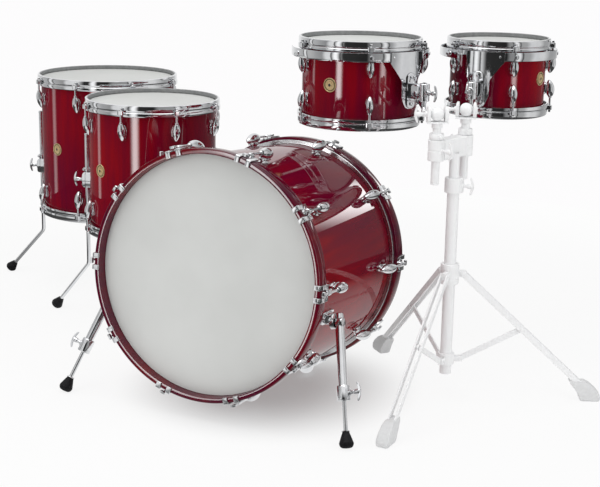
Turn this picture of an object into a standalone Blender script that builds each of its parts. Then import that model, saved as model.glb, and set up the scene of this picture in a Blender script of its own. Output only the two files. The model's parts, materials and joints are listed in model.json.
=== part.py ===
"""Drum kit in lacquered maple: bass drum, two floor toms and two rack toms on a double tom stand.

All sizes are in metres, +Z is up and the front of the kit faces -Y.
Places on the floor are measured from the middle of the bass drum and then moved, so that the
middle of the kit's footprint is the origin.
"""

import bpy
import bmesh
from math import acos, atan2, cos, pi, radians, sin, tan
from mathutils import Matrix, Vector

# Clearances and facets
SEAT_GAP = 0.0003
BASS_FACETS = 36
DRUM_FACETS = 24

# The kit on the floor
FOOTPRINT_MIDDLE = (-0.18964, 0.3404)
SHELL_WALL = 0.008

# Bass drum
BASS_RADIUS = 0.2794
BASS_DEPTH = 0.4572
BASS_TILT = radians(5.1)
BASS_LUG_COUNT = 10
BASS_HOOP_WIDTH = 0.039
BASS_HOOP_WALL = 0.0128
BASS_HOOP_CLEARANCE = 0.0046
BASS_HOOP_OVERHANG = 0.0279
BASS_HOOP_OUT = BASS_RADIUS + BASS_HOOP_CLEARANCE + BASS_HOOP_WALL
BASS_REAR_TOP = 2 * BASS_HOOP_OUT * cos(BASS_TILT)
BASS_LUG_LENGTH = 0.066
BASS_LUG_RADIUS = 0.0115
BASS_LUG_SETBACK = 0.052
BASS_ROD_OUT = 0.0262
BASS_FLESH_HEIGHT = 0.011
CLAW_SPAN = 0.040
CLAW_BOSS_WIDTH = 0.014
CLAW_BOSS_OUT = 0.0040
CLAW_WALL = 0.0038
CLAW_LIP = 0.0105
CLAW_SINK = 0.0025
BASS_HANDLE_SPAN = 0.0150
BASS_HANDLE_WALL = 0.0070

# Bass drum spurs
SPUR_BRACKET_FROM_FRONT = 0.079
SPUR_BRACKET_LENGTH = 0.062
SPUR_PIVOT_OUT = 0.036
SPUR_FOOT_REACH = 0.381
SPUR_FOOT_FORWARD = 0.276
SPUR_TUBE_RADIUS = 0.0105
SPUR_ROD_RADIUS = 0.0050
SPUR_TUBE_SHARE = 0.62
SPUR_FOOT_RADIUS = 0.0165
SPUR_FOOT_LENGTH = 0.036
SPUR_FOOT_TIP = 0.0070
SPUR_PLATE_WALL = 0.0055
SPUR_BOSS_RADIUS = 0.0125
SPUR_BOSS_LENGTH = 0.012
SPUR_COLLAR_WALL = 0.0050
SPUR_COLLAR_LENGTH = 0.034
SPUR_BORE_CLEARANCE = 0.0004
SPUR_TUBE_ABOVE = 0.022
SPUR_ROD_TOP = 0.030
ROD_IN_FOOT = 0.0055

# Cast hoops, heads and fasteners of the upright drums
HOOP_HEIGHT = 0.031
HOOP_OUT = 0.0125
HOOP_RIM_OUT = 0.0110
HOOP_LIP_OUT = 0.0021
HOOP_SKIRT_OUT = 0.0073
HOOP_OVERHANG = 0.0130
HEAD_THICKNESS = 0.0010
FLESH_DEPTH = 0.0113
ROD_OUT = 0.0165
ROD_RADIUS = 0.0030
ROD_GAP_TO_LUG = 0.018
ROD_HEAD_HEIGHT = 0.0080
EAR_WIDTH = 0.0190
EAR_HEIGHT = 0.0110
EAR_DROP = 0.0135
EAR_BEYOND_ROD = 0.0068
FLOOR_LUG_LENGTH = 0.051
FLOOR_LUG_RADIUS = 0.0115
TOM_LUG_LENGTH = 0.045
TOM_LUG_RADIUS = 0.0105
LUG_TAIL_OUT = 0.0045
LUG_SINK = 0.0030
WING_SINK = 0.0020

# Floor toms: place, shell, height of the rim, azimuth of the first lug and of the first leg
FLOOR_16_PLACE = (-0.838, 0.6225)
FLOOR_16_RADIUS = 0.2032
FLOOR_16_DEPTH = 0.4064
FLOOR_16_RIM = 0.667
FLOOR_16_FIRST_LUG = radians(8.0)
FLOOR_16_FIRST_LEG = radians(190.0)
FLOOR_16_FOOT_REACH = 0.364
FLOOR_16_BRACKET_HEIGHT = 0.356
FLOOR_14_PLACE = (-0.4990, 0.3385)
FLOOR_14_RADIUS = 0.1778
FLOOR_14_DEPTH = 0.3556
FLOOR_14_RIM = 0.651
FLOOR_14_FIRST_LUG = radians(6.0)
FLOOR_14_FIRST_LEG = radians(188.0)
FLOOR_14_FOOT_REACH = 0.325
FLOOR_14_BRACKET_HEIGHT = 0.395
FLOOR_LUG_COUNT = 8

# Floor tom legs
LEG_COUNT = 3
LEG_RADIUS = 0.0055
LEG_OUT = 0.0315
LEG_BEND_HEIGHT = 0.147
LEG_BEND_RADIUS = 0.022
LEG_TOP = 0.534
LEG_FOOT_RADIUS = 0.0165
LEG_FOOT_LENGTH = 0.034
LEG_FOOT_TIP = 0.0070
BRACKET_WIDTH = 0.026
BRACKET_HEIGHT = 0.046
BRACKET_FOOT = 0.020
BRACKET_WALL = 0.0075
BRACKET_BORE_CLEARANCE = 0.0004
BRACKET_PLATE_HEIGHT = 0.092
BRACKET_PLATE_WALL = 0.0035
WING_STEM_RADIUS = 0.0038
WING_STEM_LENGTH = 0.017
WING_SPAN = 0.042
WING_HEIGHT = 0.0125
WING_WALL = 0.0045

# Rack toms
TOM_12_PLACE = (0.100, 0.408)
TOM_12_RADIUS = 0.1524
TOM_12_DEPTH = 0.2032
TOM_12_ABOVE_BASS = 0.02855
TOM_12_RIM = BASS_REAR_TOP + TOM_12_ABOVE_BASS + TOM_12_DEPTH + 2 * HOOP_OVERHANG
TOM_12_FIRST_LUG = radians(230.0)
TOM_12_MOUNT_LUG = 1
TOM_10_PLACE = (0.407, 0.632)
TOM_10_RADIUS = 0.1270
TOM_10_DEPTH = 0.1778
TOM_10_BELOW_TOM_12 = 0.002
TOM_10_RIM = TOM_12_RIM - TOM_10_BELOW_TOM_12
TOM_10_FIRST_LUG = radians(233.0)
TOM_10_MOUNT_LUG = 0
TOM_LUG_COUNT = 5
BAND_OUT = 0.0260
BAND_WALL = 0.0028
BAND_HEIGHT = 0.0230
BAND_SWEEP = radians(270.0)
BAND_DROP = -0.0035
PLATE_WALL = 0.0026
PLATE_HEIGHT = 0.1435
PLATE_SHOULDER = 0.024
PLATE_WAIST = 0.072
PLATE_HEEL = 0.111
PLATE_TOP_WIDTH = 0.128
PLATE_FOOT_WIDTH = 0.058
PLATE_TOE_WIDTH = 0.030
MOUNT_PLATE_HEIGHT = 0.090
MOUNT_PLATE_WIDTH = 0.030
MOUNT_PLATE_WALL = 0.0040
MOUNT_BLOCK_WIDTH = 0.030
MOUNT_BLOCK_HEIGHT = 0.044
TOM_12_MOUNT_BELOW_RIM = 0.124
TOM_12_MOUNT_HEIGHT = TOM_12_RIM - TOM_12_MOUNT_BELOW_RIM
TOM_10_MOUNT_BELOW_RIM = 0.122
TOM_10_MOUNT_HEIGHT = TOM_10_RIM - TOM_10_MOUNT_BELOW_RIM
ARM_OUT = 0.0780
ARM_RADIUS = 0.0055
ARM_BEND_RADIUS = 0.020
ARM_TOP_SPARE = 0.0025
ELBOW_BELOW_MOUNT = 0.053
BALL_BELOW_MOUNT = 0.017

# Double tom stand; its heights go down from the lower tom's mount
STAND_PLACE = (0.460, 0.147)
STAND_LEG_AZIMUTHS = (138.0, 268.0, 23.2)
STAND_FOOT_REACH = 0.360
BASE_TUBE_RADIUS = 0.0143
BASE_TUBE_WALL = 0.0016
BASE_TUBE_FOOT = 0.060
HEIGHT_TUBE_RADIUS = 0.0123
HEIGHT_TUBE_WALL = 0.0020
HEIGHT_TUBE_IN_BASE = 0.317
HUB_PIVOT_HEIGHT = 0.315
HUB_PIVOT_OUT = 0.034
HUB_RADIUS = 0.0225
HUB_HEIGHT = 0.050
COLLAR_PIVOT_HEIGHT = 0.099
COLLAR_PIVOT_OUT = 0.034
COLLAR_RADIUS = 0.0205
COLLAR_HEIGHT = 0.028
EAR_PLATE_WALL = 0.0030
LEG_GAP = 0.0120
LEG_BAR_WALL = 0.0040
LEG_BAR_WIDTH = 0.0150
BRACE_SHARE = 0.4545
BRACE_WALL = 0.0045
BRACE_WIDTH = 0.0140
STAND_FOOT_LENGTH = 0.058
STAND_FOOT_WIDTH = 0.036
STAND_FOOT_HEIGHT = 0.040
HEIGHT_CLAMP_RADIUS = 0.0215
HEIGHT_CLAMP_HEIGHT = 0.036
TWIN_CLAMP_BELOW_BALL = 0.110
TWIN_CLAMP_FOOT = min(TOM_12_MOUNT_HEIGHT, TOM_10_MOUNT_HEIGHT) - BALL_BELOW_MOUNT - TWIN_CLAMP_BELOW_BALL
BASE_TUBE_BELOW_CLAMP = 0.046
BASE_TUBE_TOP = TWIN_CLAMP_FOOT - BASE_TUBE_BELOW_CLAMP
HEIGHT_TUBE_FOOT = BASE_TUBE_TOP - HEIGHT_TUBE_IN_BASE
TWIN_CLAMP_HEIGHT = 0.050
TWIN_CLAMP_RADIUS = 0.0195
POST_PITCH = 0.1116
POST_BAR_AZIMUTH = radians(71.7)
POST_SIDE_OFFSET = 0.0138
POST_RADIUS = 0.0100
POST_BELOW_CLAMP = 0.058
POST_FOOT = TWIN_CLAMP_FOOT - POST_BELOW_CLAMP
BALL_RADIUS = 0.0165
YOKE_WALL = 0.0085
YOKE_DEPTH = 0.032
YOKE_BASE = 0.016
LOCK_RADIUS = 0.0170
LOCK_HEIGHT = 0.015

parts = bpy.data.collections.new("drum_kit")
cutters = bpy.data.collections.new("cutters")


def clear_scene():
    """Removes whatever the file opened with and links the two collections."""
    for existing in list(bpy.data.objects):
        bpy.data.objects.remove(existing, do_unlink=True)
    bpy.context.scene.collection.children.link(parts)
    bpy.context.scene.collection.children.link(cutters)


def make_material(name, colour, roughness, metallic):
    """A plain Principled surface with the part's own colour."""
    made = bpy.data.materials.new(name)
    made.use_nodes = True
    shader = made.node_tree.nodes["Principled BSDF"]
    shader.inputs["Base Color"].default_value = (*colour, 1.0)
    shader.inputs["Roughness"].default_value = roughness
    shader.inputs["Metallic"].default_value = metallic
    return made


LACQUER = make_material("cherry_lacquer", (0.30, 0.008, 0.022), 0.12, 0.0)
CHROME = make_material("chrome", (0.78, 0.79, 0.80), 0.08, 1.0)
COATED = make_material("coated_head", (0.70, 0.71, 0.69), 0.55, 0.0)
PALE_METAL = make_material("pale_stand_metal", (0.66, 0.67, 0.68), 0.35, 0.4)


def place_on_floor(spot, height=0.0):
    """Moves a place measured from the bass drum into the kit's own frame."""
    return Vector((spot[0] - FOOTPRINT_MIDDLE[0], spot[1] - FOOTPRINT_MIDDLE[1], height))


def polar(radius, azimuth, height=0.0):
    return Vector((radius * cos(azimuth), radius * sin(azimuth), height))


def add_object(name, mesh, finish, matrix=None):
    """Puts a mesh in the parts collection under its own name."""
    made = bpy.data.objects.new(name, mesh)
    mesh.name = name
    if not mesh.materials:
        mesh.materials.append(finish)
    if matrix:
        made.matrix_world = matrix
    parts.objects.link(made)
    return made


def add_cutter(mesh):
    """A hidden body for a Boolean."""
    made = bpy.data.objects.new("cutter", mesh)
    made.hide_render = True
    made.display_type = "WIRE"
    cutters.objects.link(made)
    return made


def evaluated_mesh(source):
    """The mesh of an object with its modifiers, welded; the object itself is removed."""
    bpy.context.view_layer.update()
    graph = bpy.context.evaluated_depsgraph_get()
    made = bpy.data.meshes.new_from_object(source.evaluated_get(graph))
    bm = bmesh.new()
    bm.from_mesh(made)
    bmesh.ops.remove_doubles(bm, verts=bm.verts, dist=0.00001)
    bmesh.ops.transform(bm, matrix=source.matrix_world, verts=bm.verts)
    bm.to_mesh(made)
    bm.free()
    bpy.data.objects.remove(source, do_unlink=True)
    return made


def profile_mesh(name, points, closed):
    """Edges through (radius, height) points, for a Screw modifier to turn about Z."""
    made = bpy.data.meshes.new(name)
    edges = [(i, i + 1) for i in range(len(points) - 1)]
    if closed:
        edges.append((len(points) - 1, 0))
    made.from_pydata([(radius, 0.0, height) for radius, height in points], edges, [])
    return made


def add_screw(target, facets):
    turn = target.modifiers.new("turn", "SCREW")
    turn.steps = facets
    turn.render_steps = facets
    turn.use_merge_vertices = True
    turn.merge_threshold = 0.00001
    turn.use_smooth_shade = False


def turned_object(name, points, closed, facets, finish, matrix=None):
    """A turned node: the profile stays editable under its Screw modifier."""
    made = add_object(name, profile_mesh(name, points, closed), finish, matrix)
    add_screw(made, facets)
    return made


def turned_mesh(points, closed, facets):
    """A turned shape as a plain mesh, for pieces that are copied or joined."""
    source = bpy.data.objects.new("turned", profile_mesh("turned", points, closed))
    cutters.objects.link(source)
    add_screw(source, facets)
    return evaluated_mesh(source)


def finished(bm):
    made = bpy.data.meshes.new("piece")
    bm.to_mesh(made)
    bm.free()
    return made


def rod_mesh(radius, low, high, facets):
    """A round bar along Z, with a flat side towards +X."""
    bm = bmesh.new()
    place = Matrix.Translation((0.0, 0.0, (low + high) / 2)) @ Matrix.Rotation(pi / facets, 4, "Z")
    bmesh.ops.create_cone(bm, cap_ends=True, segments=facets, radius1=radius, radius2=radius,
                          depth=high - low, matrix=place @ Matrix.Rotation(pi / 2, 4, "Z"))
    return finished(bm)


def box_mesh(low, high):
    """A box from one corner to the other."""
    size = Vector(high) - Vector(low)
    middle = (Vector(high) + Vector(low)) / 2
    bm = bmesh.new()
    bmesh.ops.create_cube(bm, size=1.0,
                          matrix=Matrix.Translation(middle) @ Matrix.Diagonal((*size, 1.0)))
    return finished(bm)


def outline_mesh(rings, thickness):
    """A flat outline, with any holes, in the XY plane and centred on it, given a thickness."""
    curve = bpy.data.curves.new("outline", "CURVE")
    curve.dimensions = "2D"
    curve.fill_mode = "BOTH"
    curve.extrude = thickness / 2
    for ring in rings:
        spline = curve.splines.new("POLY")
        spline.points.add(len(ring) - 1)
        spline.use_cyclic_u = True
        for point, (x, y) in zip(spline.points, ring):
            point.co = (x, y, 0.0, 1.0)
    source = bpy.data.objects.new("outline", curve)
    cutters.objects.link(source)
    return evaluated_mesh(source)


def wire_mesh(points, radius):
    """A bent rod through the points, with closed ends."""
    curve = bpy.data.curves.new("wire", "CURVE")
    curve.dimensions = "3D"
    curve.bevel_depth = radius
    curve.bevel_resolution = 1
    curve.use_fill_caps = True
    spline = curve.splines.new("POLY")
    spline.points.add(len(points) - 1)
    for point, place in zip(spline.points, points):
        point.co = (*place, 1.0)
    source = bpy.data.objects.new("wire", curve)
    cutters.objects.link(source)
    return evaluated_mesh(source)


def gathered(pieces):
    """One mesh that holds each (mesh, matrix) of a list."""
    bm = bmesh.new()
    for mesh, matrix in pieces:
        first = len(bm.verts)
        bm.from_mesh(mesh)
        bm.verts.ensure_lookup_table()
        bmesh.ops.transform(bm, matrix=matrix, verts=bm.verts[first:])
    return finished(bm)


def boolean_mesh(mesh, other, operation):
    """The mesh after one exact Boolean with another."""
    body = bpy.data.objects.new("body", mesh)
    cutters.objects.link(body)
    tool = add_cutter(other)
    boolean = body.modifiers.new("boolean", "BOOLEAN")
    boolean.operation = operation
    boolean.solver = "EXACT"
    boolean.object = tool
    made = evaluated_mesh(body)
    bpy.data.objects.remove(tool, do_unlink=True)
    return made


def joined(*groups):
    """One solid out of lists of (mesh, matrix); the pieces inside one list don't meet."""
    made = gathered(groups[0])
    for group in groups[1:]:
        made = boolean_mesh(made, gathered(group), "UNION")
    return made


STILL = Matrix.Identity(4)
FLIP = Matrix.Rotation(pi, 4, "X")
ON_X = Matrix.Rotation(pi / 2, 4, "Y")


def circle(radius, facets, middle):
    return [(middle[0] + radius * cos(2 * pi * i / facets), middle[1] + radius * sin(2 * pi * i / facets))
            for i in range(facets)]


def stadium(length, radius, facets):
    """Round-ended outline along X, with its end arcs centred at plus and minus half the length."""
    ring = []
    for side, start in ((1, -pi / 2), (-1, pi / 2)):
        for i in range(facets + 1):
            angle = start + pi * i / facets
            ring.append((side * length / 2 + radius * cos(angle), radius * sin(angle)))
    return ring


def frame_matrix(origin, x_axis, z_axis):
    """A frame at the origin point, with the given Z and with X as near as it can be."""
    z = Vector(z_axis).normalized()
    y = z.cross(Vector(x_axis)).normalized()
    x = y.cross(z)
    return Matrix.Translation(origin) @ Matrix((x, y, z)).transposed().to_4x4()


def around(pieces, count, first, radius):
    """The pieces repeated round Z; their X points outwards and starts at the radius."""
    made = []
    for i in range(count):
        place = Matrix.Rotation(first + 2 * pi * i / count, 4, "Z")
        place = place @ Matrix.Translation((radius, 0.0, 0.0))
        made += [(mesh, place @ own) for mesh, own in pieces]
    return made


def moved(pieces, matrix):
    return [(mesh, matrix @ place) for mesh, place in pieces]


def moved_copy(mesh, matrix):
    made = mesh.copy()
    made.transform(matrix)
    return made


def flat_radius(radius, facets):
    """Distance from a faceted cylinder's axis to the middle of its flats."""
    return radius * cos(pi / facets)


def arc_points(corner, start_dir, end_dir, radius, steps):
    """Points round a bend of the given radius, between two straight stretches that meet at corner."""
    start_dir = Vector(start_dir).normalized()
    end_dir = Vector(end_dir).normalized()
    bend = acos(max(-1.0, min(1.0, start_dir.dot(end_dir))))
    first = Vector(corner) - start_dir * radius * tan(bend / 2)
    normal = start_dir.cross(end_dir).normalized()
    middle = first + normal.cross(start_dir) * radius
    return [middle + Matrix.Rotation(bend * i / steps, 3, normal) @ (first - middle)
            for i in range(steps + 1)]


def lug_mesh(length, radius, rod_out):
    """A teardrop lug that hangs down from the origin's height, sunk a little into the shell,
    which is the plane through the origin; its top takes the rod at rod_out."""
    outline = [(-LUG_SINK, -length * 0.10), (rod_out - radius * 0.4, 0.0), (rod_out + radius * 0.6, 0.0),
               (rod_out + radius * 0.5, -length * 0.45), (LUG_TAIL_OUT, -length), (-LUG_SINK, -length)]
    return moved_copy(outline_mesh([outline], radius * 1.5), Matrix.Rotation(pi / 2, 4, "X"))


def head_profile(shell_radius, shell_end):
    """A drum head: film on the shell's edge and a flesh hoop round it."""
    film_top = shell_end + SEAT_GAP + HEAD_THICKNESS
    skirt_in = shell_radius + SEAT_GAP
    film_out = shell_radius + HOOP_LIP_OUT - 2 * SEAT_GAP
    flesh_out = shell_radius + HOOP_SKIRT_OUT - 2 * SEAT_GAP
    flesh_low = shell_end - FLESH_DEPTH
    return [(0.0, film_top), (film_out, film_top), (flesh_out, flesh_low), (skirt_in, flesh_low),
            (skirt_in, shell_end + SEAT_GAP), (0.0, shell_end + SEAT_GAP)]


def cast_hoop_profile(shell_radius, shell_end):
    """A cast hoop: a lip over the head's edge and a skirt round its flesh hoop."""
    rim = shell_end + HOOP_OVERHANG
    skirt_low = rim - HOOP_HEIGHT
    film_top = shell_end + SEAT_GAP + HEAD_THICKNESS
    return [(shell_radius + HOOP_RIM_OUT, rim), (shell_radius + HOOP_OUT, skirt_low),
            (shell_radius + HOOP_SKIRT_OUT, skirt_low),
            (shell_radius + HOOP_SKIRT_OUT, shell_end - FLESH_DEPTH),
            (shell_radius + HOOP_LIP_OUT, film_top + SEAT_GAP), (shell_radius + HOOP_LIP_OUT, rim)]


def shell_profile(radius, depth):
    return [(radius, depth / 2), (radius, -depth / 2),
            (radius - SHELL_WALL, -depth / 2), (radius - SHELL_WALL, depth / 2)]


def lug_top(depth):
    """Height above a drum's middle at which its tension rods enter the lugs."""
    return depth / 2 + HOOP_OVERHANG - HOOP_HEIGHT - ROD_GAP_TO_LUG


def both_ends(pieces):
    """The pieces at the upper end of a drum, and again at its lower end, below each other."""
    lower = []
    for mesh, place in pieces:
        mirrored = mesh.copy()
        mirror = Matrix.Diagonal((1.0, 1.0, -1.0, 1.0))
        mirrored.transform(mirror)
        mirrored.flip_normals()
        lower.append((mirrored, mirror @ place @ mirror))
    return pieces + lower


def shell_with_lugs(radius, depth, phase, lug_count, first_lug, lug_length, lug_radius):
    """A shell with the lugs that are bolted to it, one row for each head."""
    shell = turned_mesh(shell_profile(radius, depth), True, DRUM_FACETS)
    lug = lug_mesh(lug_length, lug_radius, ROD_OUT)
    row = around([(lug, Matrix.Translation((0.0, 0.0, lug_top(depth))))], lug_count, first_lug, radius)
    return joined([(shell, Matrix.Rotation(phase, 4, "Z"))], both_ends(row))


def hoop_with_rods(radius, depth, phase, lug_count, first_lug):
    """The upper cast hoop of a drum, with its ears and the tension rods that pass through them."""
    end = depth / 2
    ear_high = end + HOOP_OVERHANG - EAR_DROP
    hoop = turned_mesh(cast_hoop_profile(radius, end), True, DRUM_FACETS)
    facet_dip = radius + HOOP_OUT - flat_radius(radius + HOOP_OUT, DRUM_FACETS)
    ear = box_mesh((HOOP_OUT - facet_dip - 0.0015, -EAR_WIDTH / 2, ear_high - EAR_HEIGHT),
                   (ROD_OUT + EAR_BEYOND_ROD, EAR_WIDTH / 2, ear_high))
    at_rod = Matrix.Translation((ROD_OUT, 0.0, 0.0))
    shaft = rod_mesh(ROD_RADIUS, lug_top(depth) + SEAT_GAP, ear_high + ROD_HEAD_HEIGHT, 4)
    return joined([(hoop, Matrix.Rotation(phase, 4, "Z"))],
                  around([(ear, STILL)], lug_count, first_lug, radius),
                  around([(shaft, at_rod)], lug_count, first_lug, radius))


def add_upright_drum(name, spot, radius, depth, rim, phase, lug_count, first_lug, lug_length, lug_radius):
    """Shell, hoops and heads of an upright drum; gives the frame at the drum's middle."""
    frame = Matrix.Translation(place_on_floor(spot, rim - HOOP_OVERHANG - depth / 2))
    shell = shell_with_lugs(radius, depth, phase, lug_count, first_lug, lug_length, lug_radius)
    add_object(name + "_shell", shell, LACQUER, frame)
    mirror = Matrix.Diagonal((1.0, 1.0, -1.0, 1.0))
    hoop = hoop_with_rods(radius, depth, phase, lug_count, first_lug)
    add_object(name + "_top_hoop", hoop, CHROME, frame)
    lower = moved_copy(hoop, mirror)
    lower.flip_normals()
    add_object(name + "_bottom_hoop", lower, CHROME, frame)
    turn = Matrix.Rotation(phase, 4, "Z")
    profile = head_profile(radius, depth / 2)
    turned_object(name + "_top_head", profile, False, DRUM_FACETS, COATED, frame @ turn)
    lower = [(r, -z) for r, z in profile][::-1]
    turned_object(name + "_bottom_head", lower, False, DRUM_FACETS, COATED, frame @ turn)
    return frame


def wing_screw():
    """A winged clamping screw along X: its stem starts at the origin and its wing stands upright."""
    stem = rod_mesh(WING_STEM_RADIUS, -WING_SINK, WING_STEM_LENGTH + WING_SINK, 4)
    wing = box_mesh((WING_STEM_LENGTH, -WING_WALL / 2, -WING_SPAN / 2),
                    (WING_STEM_LENGTH + WING_HEIGHT, WING_WALL / 2, WING_SPAN / 2))
    return [(joined([(stem, ON_X)], [(wing, STILL)]), STILL)]


def bass_claw(hoop_out, hoop_start, hoop_end, rod_at):
    """A claw hook in the drum's end frame: it grips the hoop's front and holds the rod's boss."""
    claw_in = hoop_out - CLAW_SINK
    claw_out = hoop_out + CLAW_WALL
    face = hoop_end + CLAW_WALL
    hook = [(claw_in, hoop_start), (claw_out, hoop_start), (claw_out, face),
            (hoop_out - CLAW_LIP, face), (hoop_out - CLAW_LIP, hoop_end - CLAW_SINK / 2),
            (claw_in, hoop_end - CLAW_SINK / 2)]
    hook_mesh = moved_copy(outline_mesh([hook], CLAW_SPAN), Matrix.Rotation(pi / 2, 4, "X"))
    boss = box_mesh((claw_in + 0.001, -CLAW_BOSS_WIDTH / 2, hoop_start + BASS_HOOP_WIDTH * 0.10),
                    (rod_at + CLAW_BOSS_OUT, CLAW_BOSS_WIDTH / 2, hoop_start + BASS_HOOP_WIDTH * 0.42))
    return joined([(hook_mesh, STILL)], [(boss, STILL)])


def build_bass_drum():
    """Bass drum: shell with lugs, heads, and wood hoops with claws and rods, tilted front up."""
    half = BASS_DEPTH / 2
    hoop_in = BASS_RADIUS + BASS_HOOP_CLEARANCE
    hoop_out = BASS_HOOP_OUT
    hoop_end = half + BASS_HOOP_OVERHANG
    hoop_start = hoop_end - BASS_HOOP_WIDTH
    lift = hoop_end * sin(BASS_TILT) + hoop_out * cos(BASS_TILT)
    frame = Matrix.Translation(place_on_floor((0.0, 0.0), lift))
    frame = frame @ Matrix.Rotation(pi / 2 - BASS_TILT, 4, "X")

    lug_high = half - BASS_LUG_SETBACK
    lug = lug_mesh(BASS_LUG_LENGTH, BASS_LUG_RADIUS, BASS_ROD_OUT)
    row = around([(lug, Matrix.Translation((0.0, 0.0, lug_high)))], BASS_LUG_COUNT, 0.0, BASS_RADIUS)
    shell = turned_mesh(shell_profile(BASS_RADIUS, BASS_DEPTH), True, BASS_FACETS)
    add_object("bass_shell", joined([(shell, STILL)], both_ends(row)), LACQUER, frame)

    flesh_top = hoop_start - SEAT_GAP
    flesh_low = flesh_top - BASS_FLESH_HEIGHT
    flesh_out = hoop_in + BASS_HOOP_WALL * 0.4
    skirt_in = BASS_RADIUS + SEAT_GAP
    skirt_out = hoop_in - SEAT_GAP
    head = [(0.0, half + SEAT_GAP + HEAD_THICKNESS), (skirt_out, half + SEAT_GAP + HEAD_THICKNESS),
            (skirt_out, flesh_top), (flesh_out, flesh_top), (flesh_out, flesh_low),
            (skirt_in, flesh_low), (skirt_in, half + SEAT_GAP), (0.0, half + SEAT_GAP)]
    ring = turned_mesh([(hoop_out, hoop_end), (hoop_out, hoop_start), (hoop_in, hoop_start),
                        (hoop_in, hoop_end)], True, BASS_FACETS)
    rod_at = BASS_RADIUS + BASS_ROD_OUT
    claw = bass_claw(hoop_out, hoop_start, hoop_end, rod_at)
    shaft = rod_mesh(ROD_RADIUS, lug_high + SEAT_GAP, hoop_end, 4)
    handle = box_mesh((-ROD_RADIUS * 0.95, -BASS_HANDLE_SPAN / 2, hoop_end - BASS_HANDLE_WALL),
                      (ROD_RADIUS * 0.95, BASS_HANDLE_SPAN / 2, hoop_end))
    at_rod = Matrix.Translation((BASS_ROD_OUT, 0.0, 0.0))
    back_to_axis = Matrix.Translation((-BASS_RADIUS, 0.0, 0.0))
    hoop = joined([(ring, STILL)],
                  around([(claw, back_to_axis)], BASS_LUG_COUNT, 0.0, BASS_RADIUS),
                  around([(shaft, at_rod)], BASS_LUG_COUNT, 0.0, BASS_RADIUS),
                  around([(handle, at_rod)], BASS_LUG_COUNT, 0.0, BASS_RADIUS))
    for side, way in (("front", STILL), ("rear", FLIP)):
        add_object("bass_%s_hoop" % side, hoop.copy(), LACQUER, frame @ way)
        turned_object("bass_%s_head" % side, head, False, BASS_FACETS, COATED, frame @ way)
    return frame


def build_spurs(frame):
    """Two folding spurs: bracket on the shell, pivoting tube, and sliding rod with a rubber foot."""
    backward = (frame.to_3x3() @ Vector((0.0, 0.0, -1.0))).normalized()
    along = BASS_DEPTH / 2 - SPUR_BRACKET_FROM_FRONT
    flats_below = -1.5 * 2 * pi / BASS_FACETS
    for side, name in ((1, "right"), (-1, "left")):
        angle = flats_below if side > 0 else pi - flats_below
        outward = (frame.to_3x3() @ polar(1.0, angle)).normalized()
        seat = flat_radius(BASS_RADIUS, BASS_FACETS)
        pivot = frame @ polar(seat + SPUR_PIVOT_OUT, angle, along)
        foot = place_on_floor((side * SPUR_FOOT_REACH, -SPUR_FOOT_FORWARD))
        down = (foot - pivot).normalized()
        hinge = down.cross(backward).normalized()
        if hinge.dot(outward) < 0:
            hinge = -hinge
        length = (foot - pivot).length
        swing = frame_matrix(pivot, hinge, down)

        half = SPUR_BRACKET_LENGTH / 2
        block_out = SPUR_PIVOT_OUT - SPUR_TUBE_RADIUS * 2.0
        plate = box_mesh((SEAT_GAP, -0.017, -half), (SPUR_PLATE_WALL, 0.017, half))
        block = box_mesh((SPUR_PLATE_WALL - 0.001, -0.013, -half * 0.62), (block_out, 0.013, half * 0.62))
        own = frame_matrix(frame @ polar(seat, angle, along), outward, backward)
        boss = rod_mesh(SPUR_BOSS_RADIUS, -SPUR_BOSS_LENGTH, 0.0, 10)
        boss_at = frame_matrix(pivot - hinge * (SPUR_TUBE_RADIUS + SEAT_GAP), down, hinge)
        bracket = joined([(plate, own)], [(block, own)], [(boss, boss_at)])
        add_object(name + "_spur_bracket", bracket, CHROME)

        tube_low = length * SPUR_TUBE_SHARE
        collar_out = SPUR_TUBE_RADIUS + SPUR_COLLAR_WALL
        collar_high = tube_low - SPUR_COLLAR_LENGTH
        bore = (SPUR_ROD_RADIUS + SPUR_BORE_CLEARANCE) / cos(pi / 8)
        tube = turned_mesh([(collar_out, tube_low), (collar_out, collar_high),
                            (SPUR_TUBE_RADIUS, collar_high), (SPUR_TUBE_RADIUS, -SPUR_TUBE_ABOVE),
                            (bore, -SPUR_TUBE_ABOVE), (bore, tube_low)], True, 8)
        screw_at = Matrix.Translation((collar_out * 0.92, 0.0, (collar_high + tube_low) / 2))
        tube = joined([(tube, STILL)], moved(wing_screw(), screw_at))
        add_object(name + "_spur_tube", tube, CHROME, swing)

        lean = acos(-down.z)
        foot_low = length - SPUR_FOOT_TIP * tan(lean)
        foot_high = foot_low - SPUR_FOOT_LENGTH
        rod = rod_mesh(SPUR_ROD_RADIUS, SPUR_ROD_TOP, foot_high + ROD_IN_FOOT, 8)
        rubber = turned_mesh([(0.0, foot_low), (SPUR_FOOT_TIP, foot_low),
                              (SPUR_FOOT_RADIUS, foot_low - SPUR_FOOT_LENGTH * 0.45),
                              (SPUR_FOOT_RADIUS * 0.72, foot_high), (0.0, foot_high)], False, 10)
        add_object(name + "_spur_rod", joined([(rod, STILL)], [(rubber, STILL)]), CHROME, swing)


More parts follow.
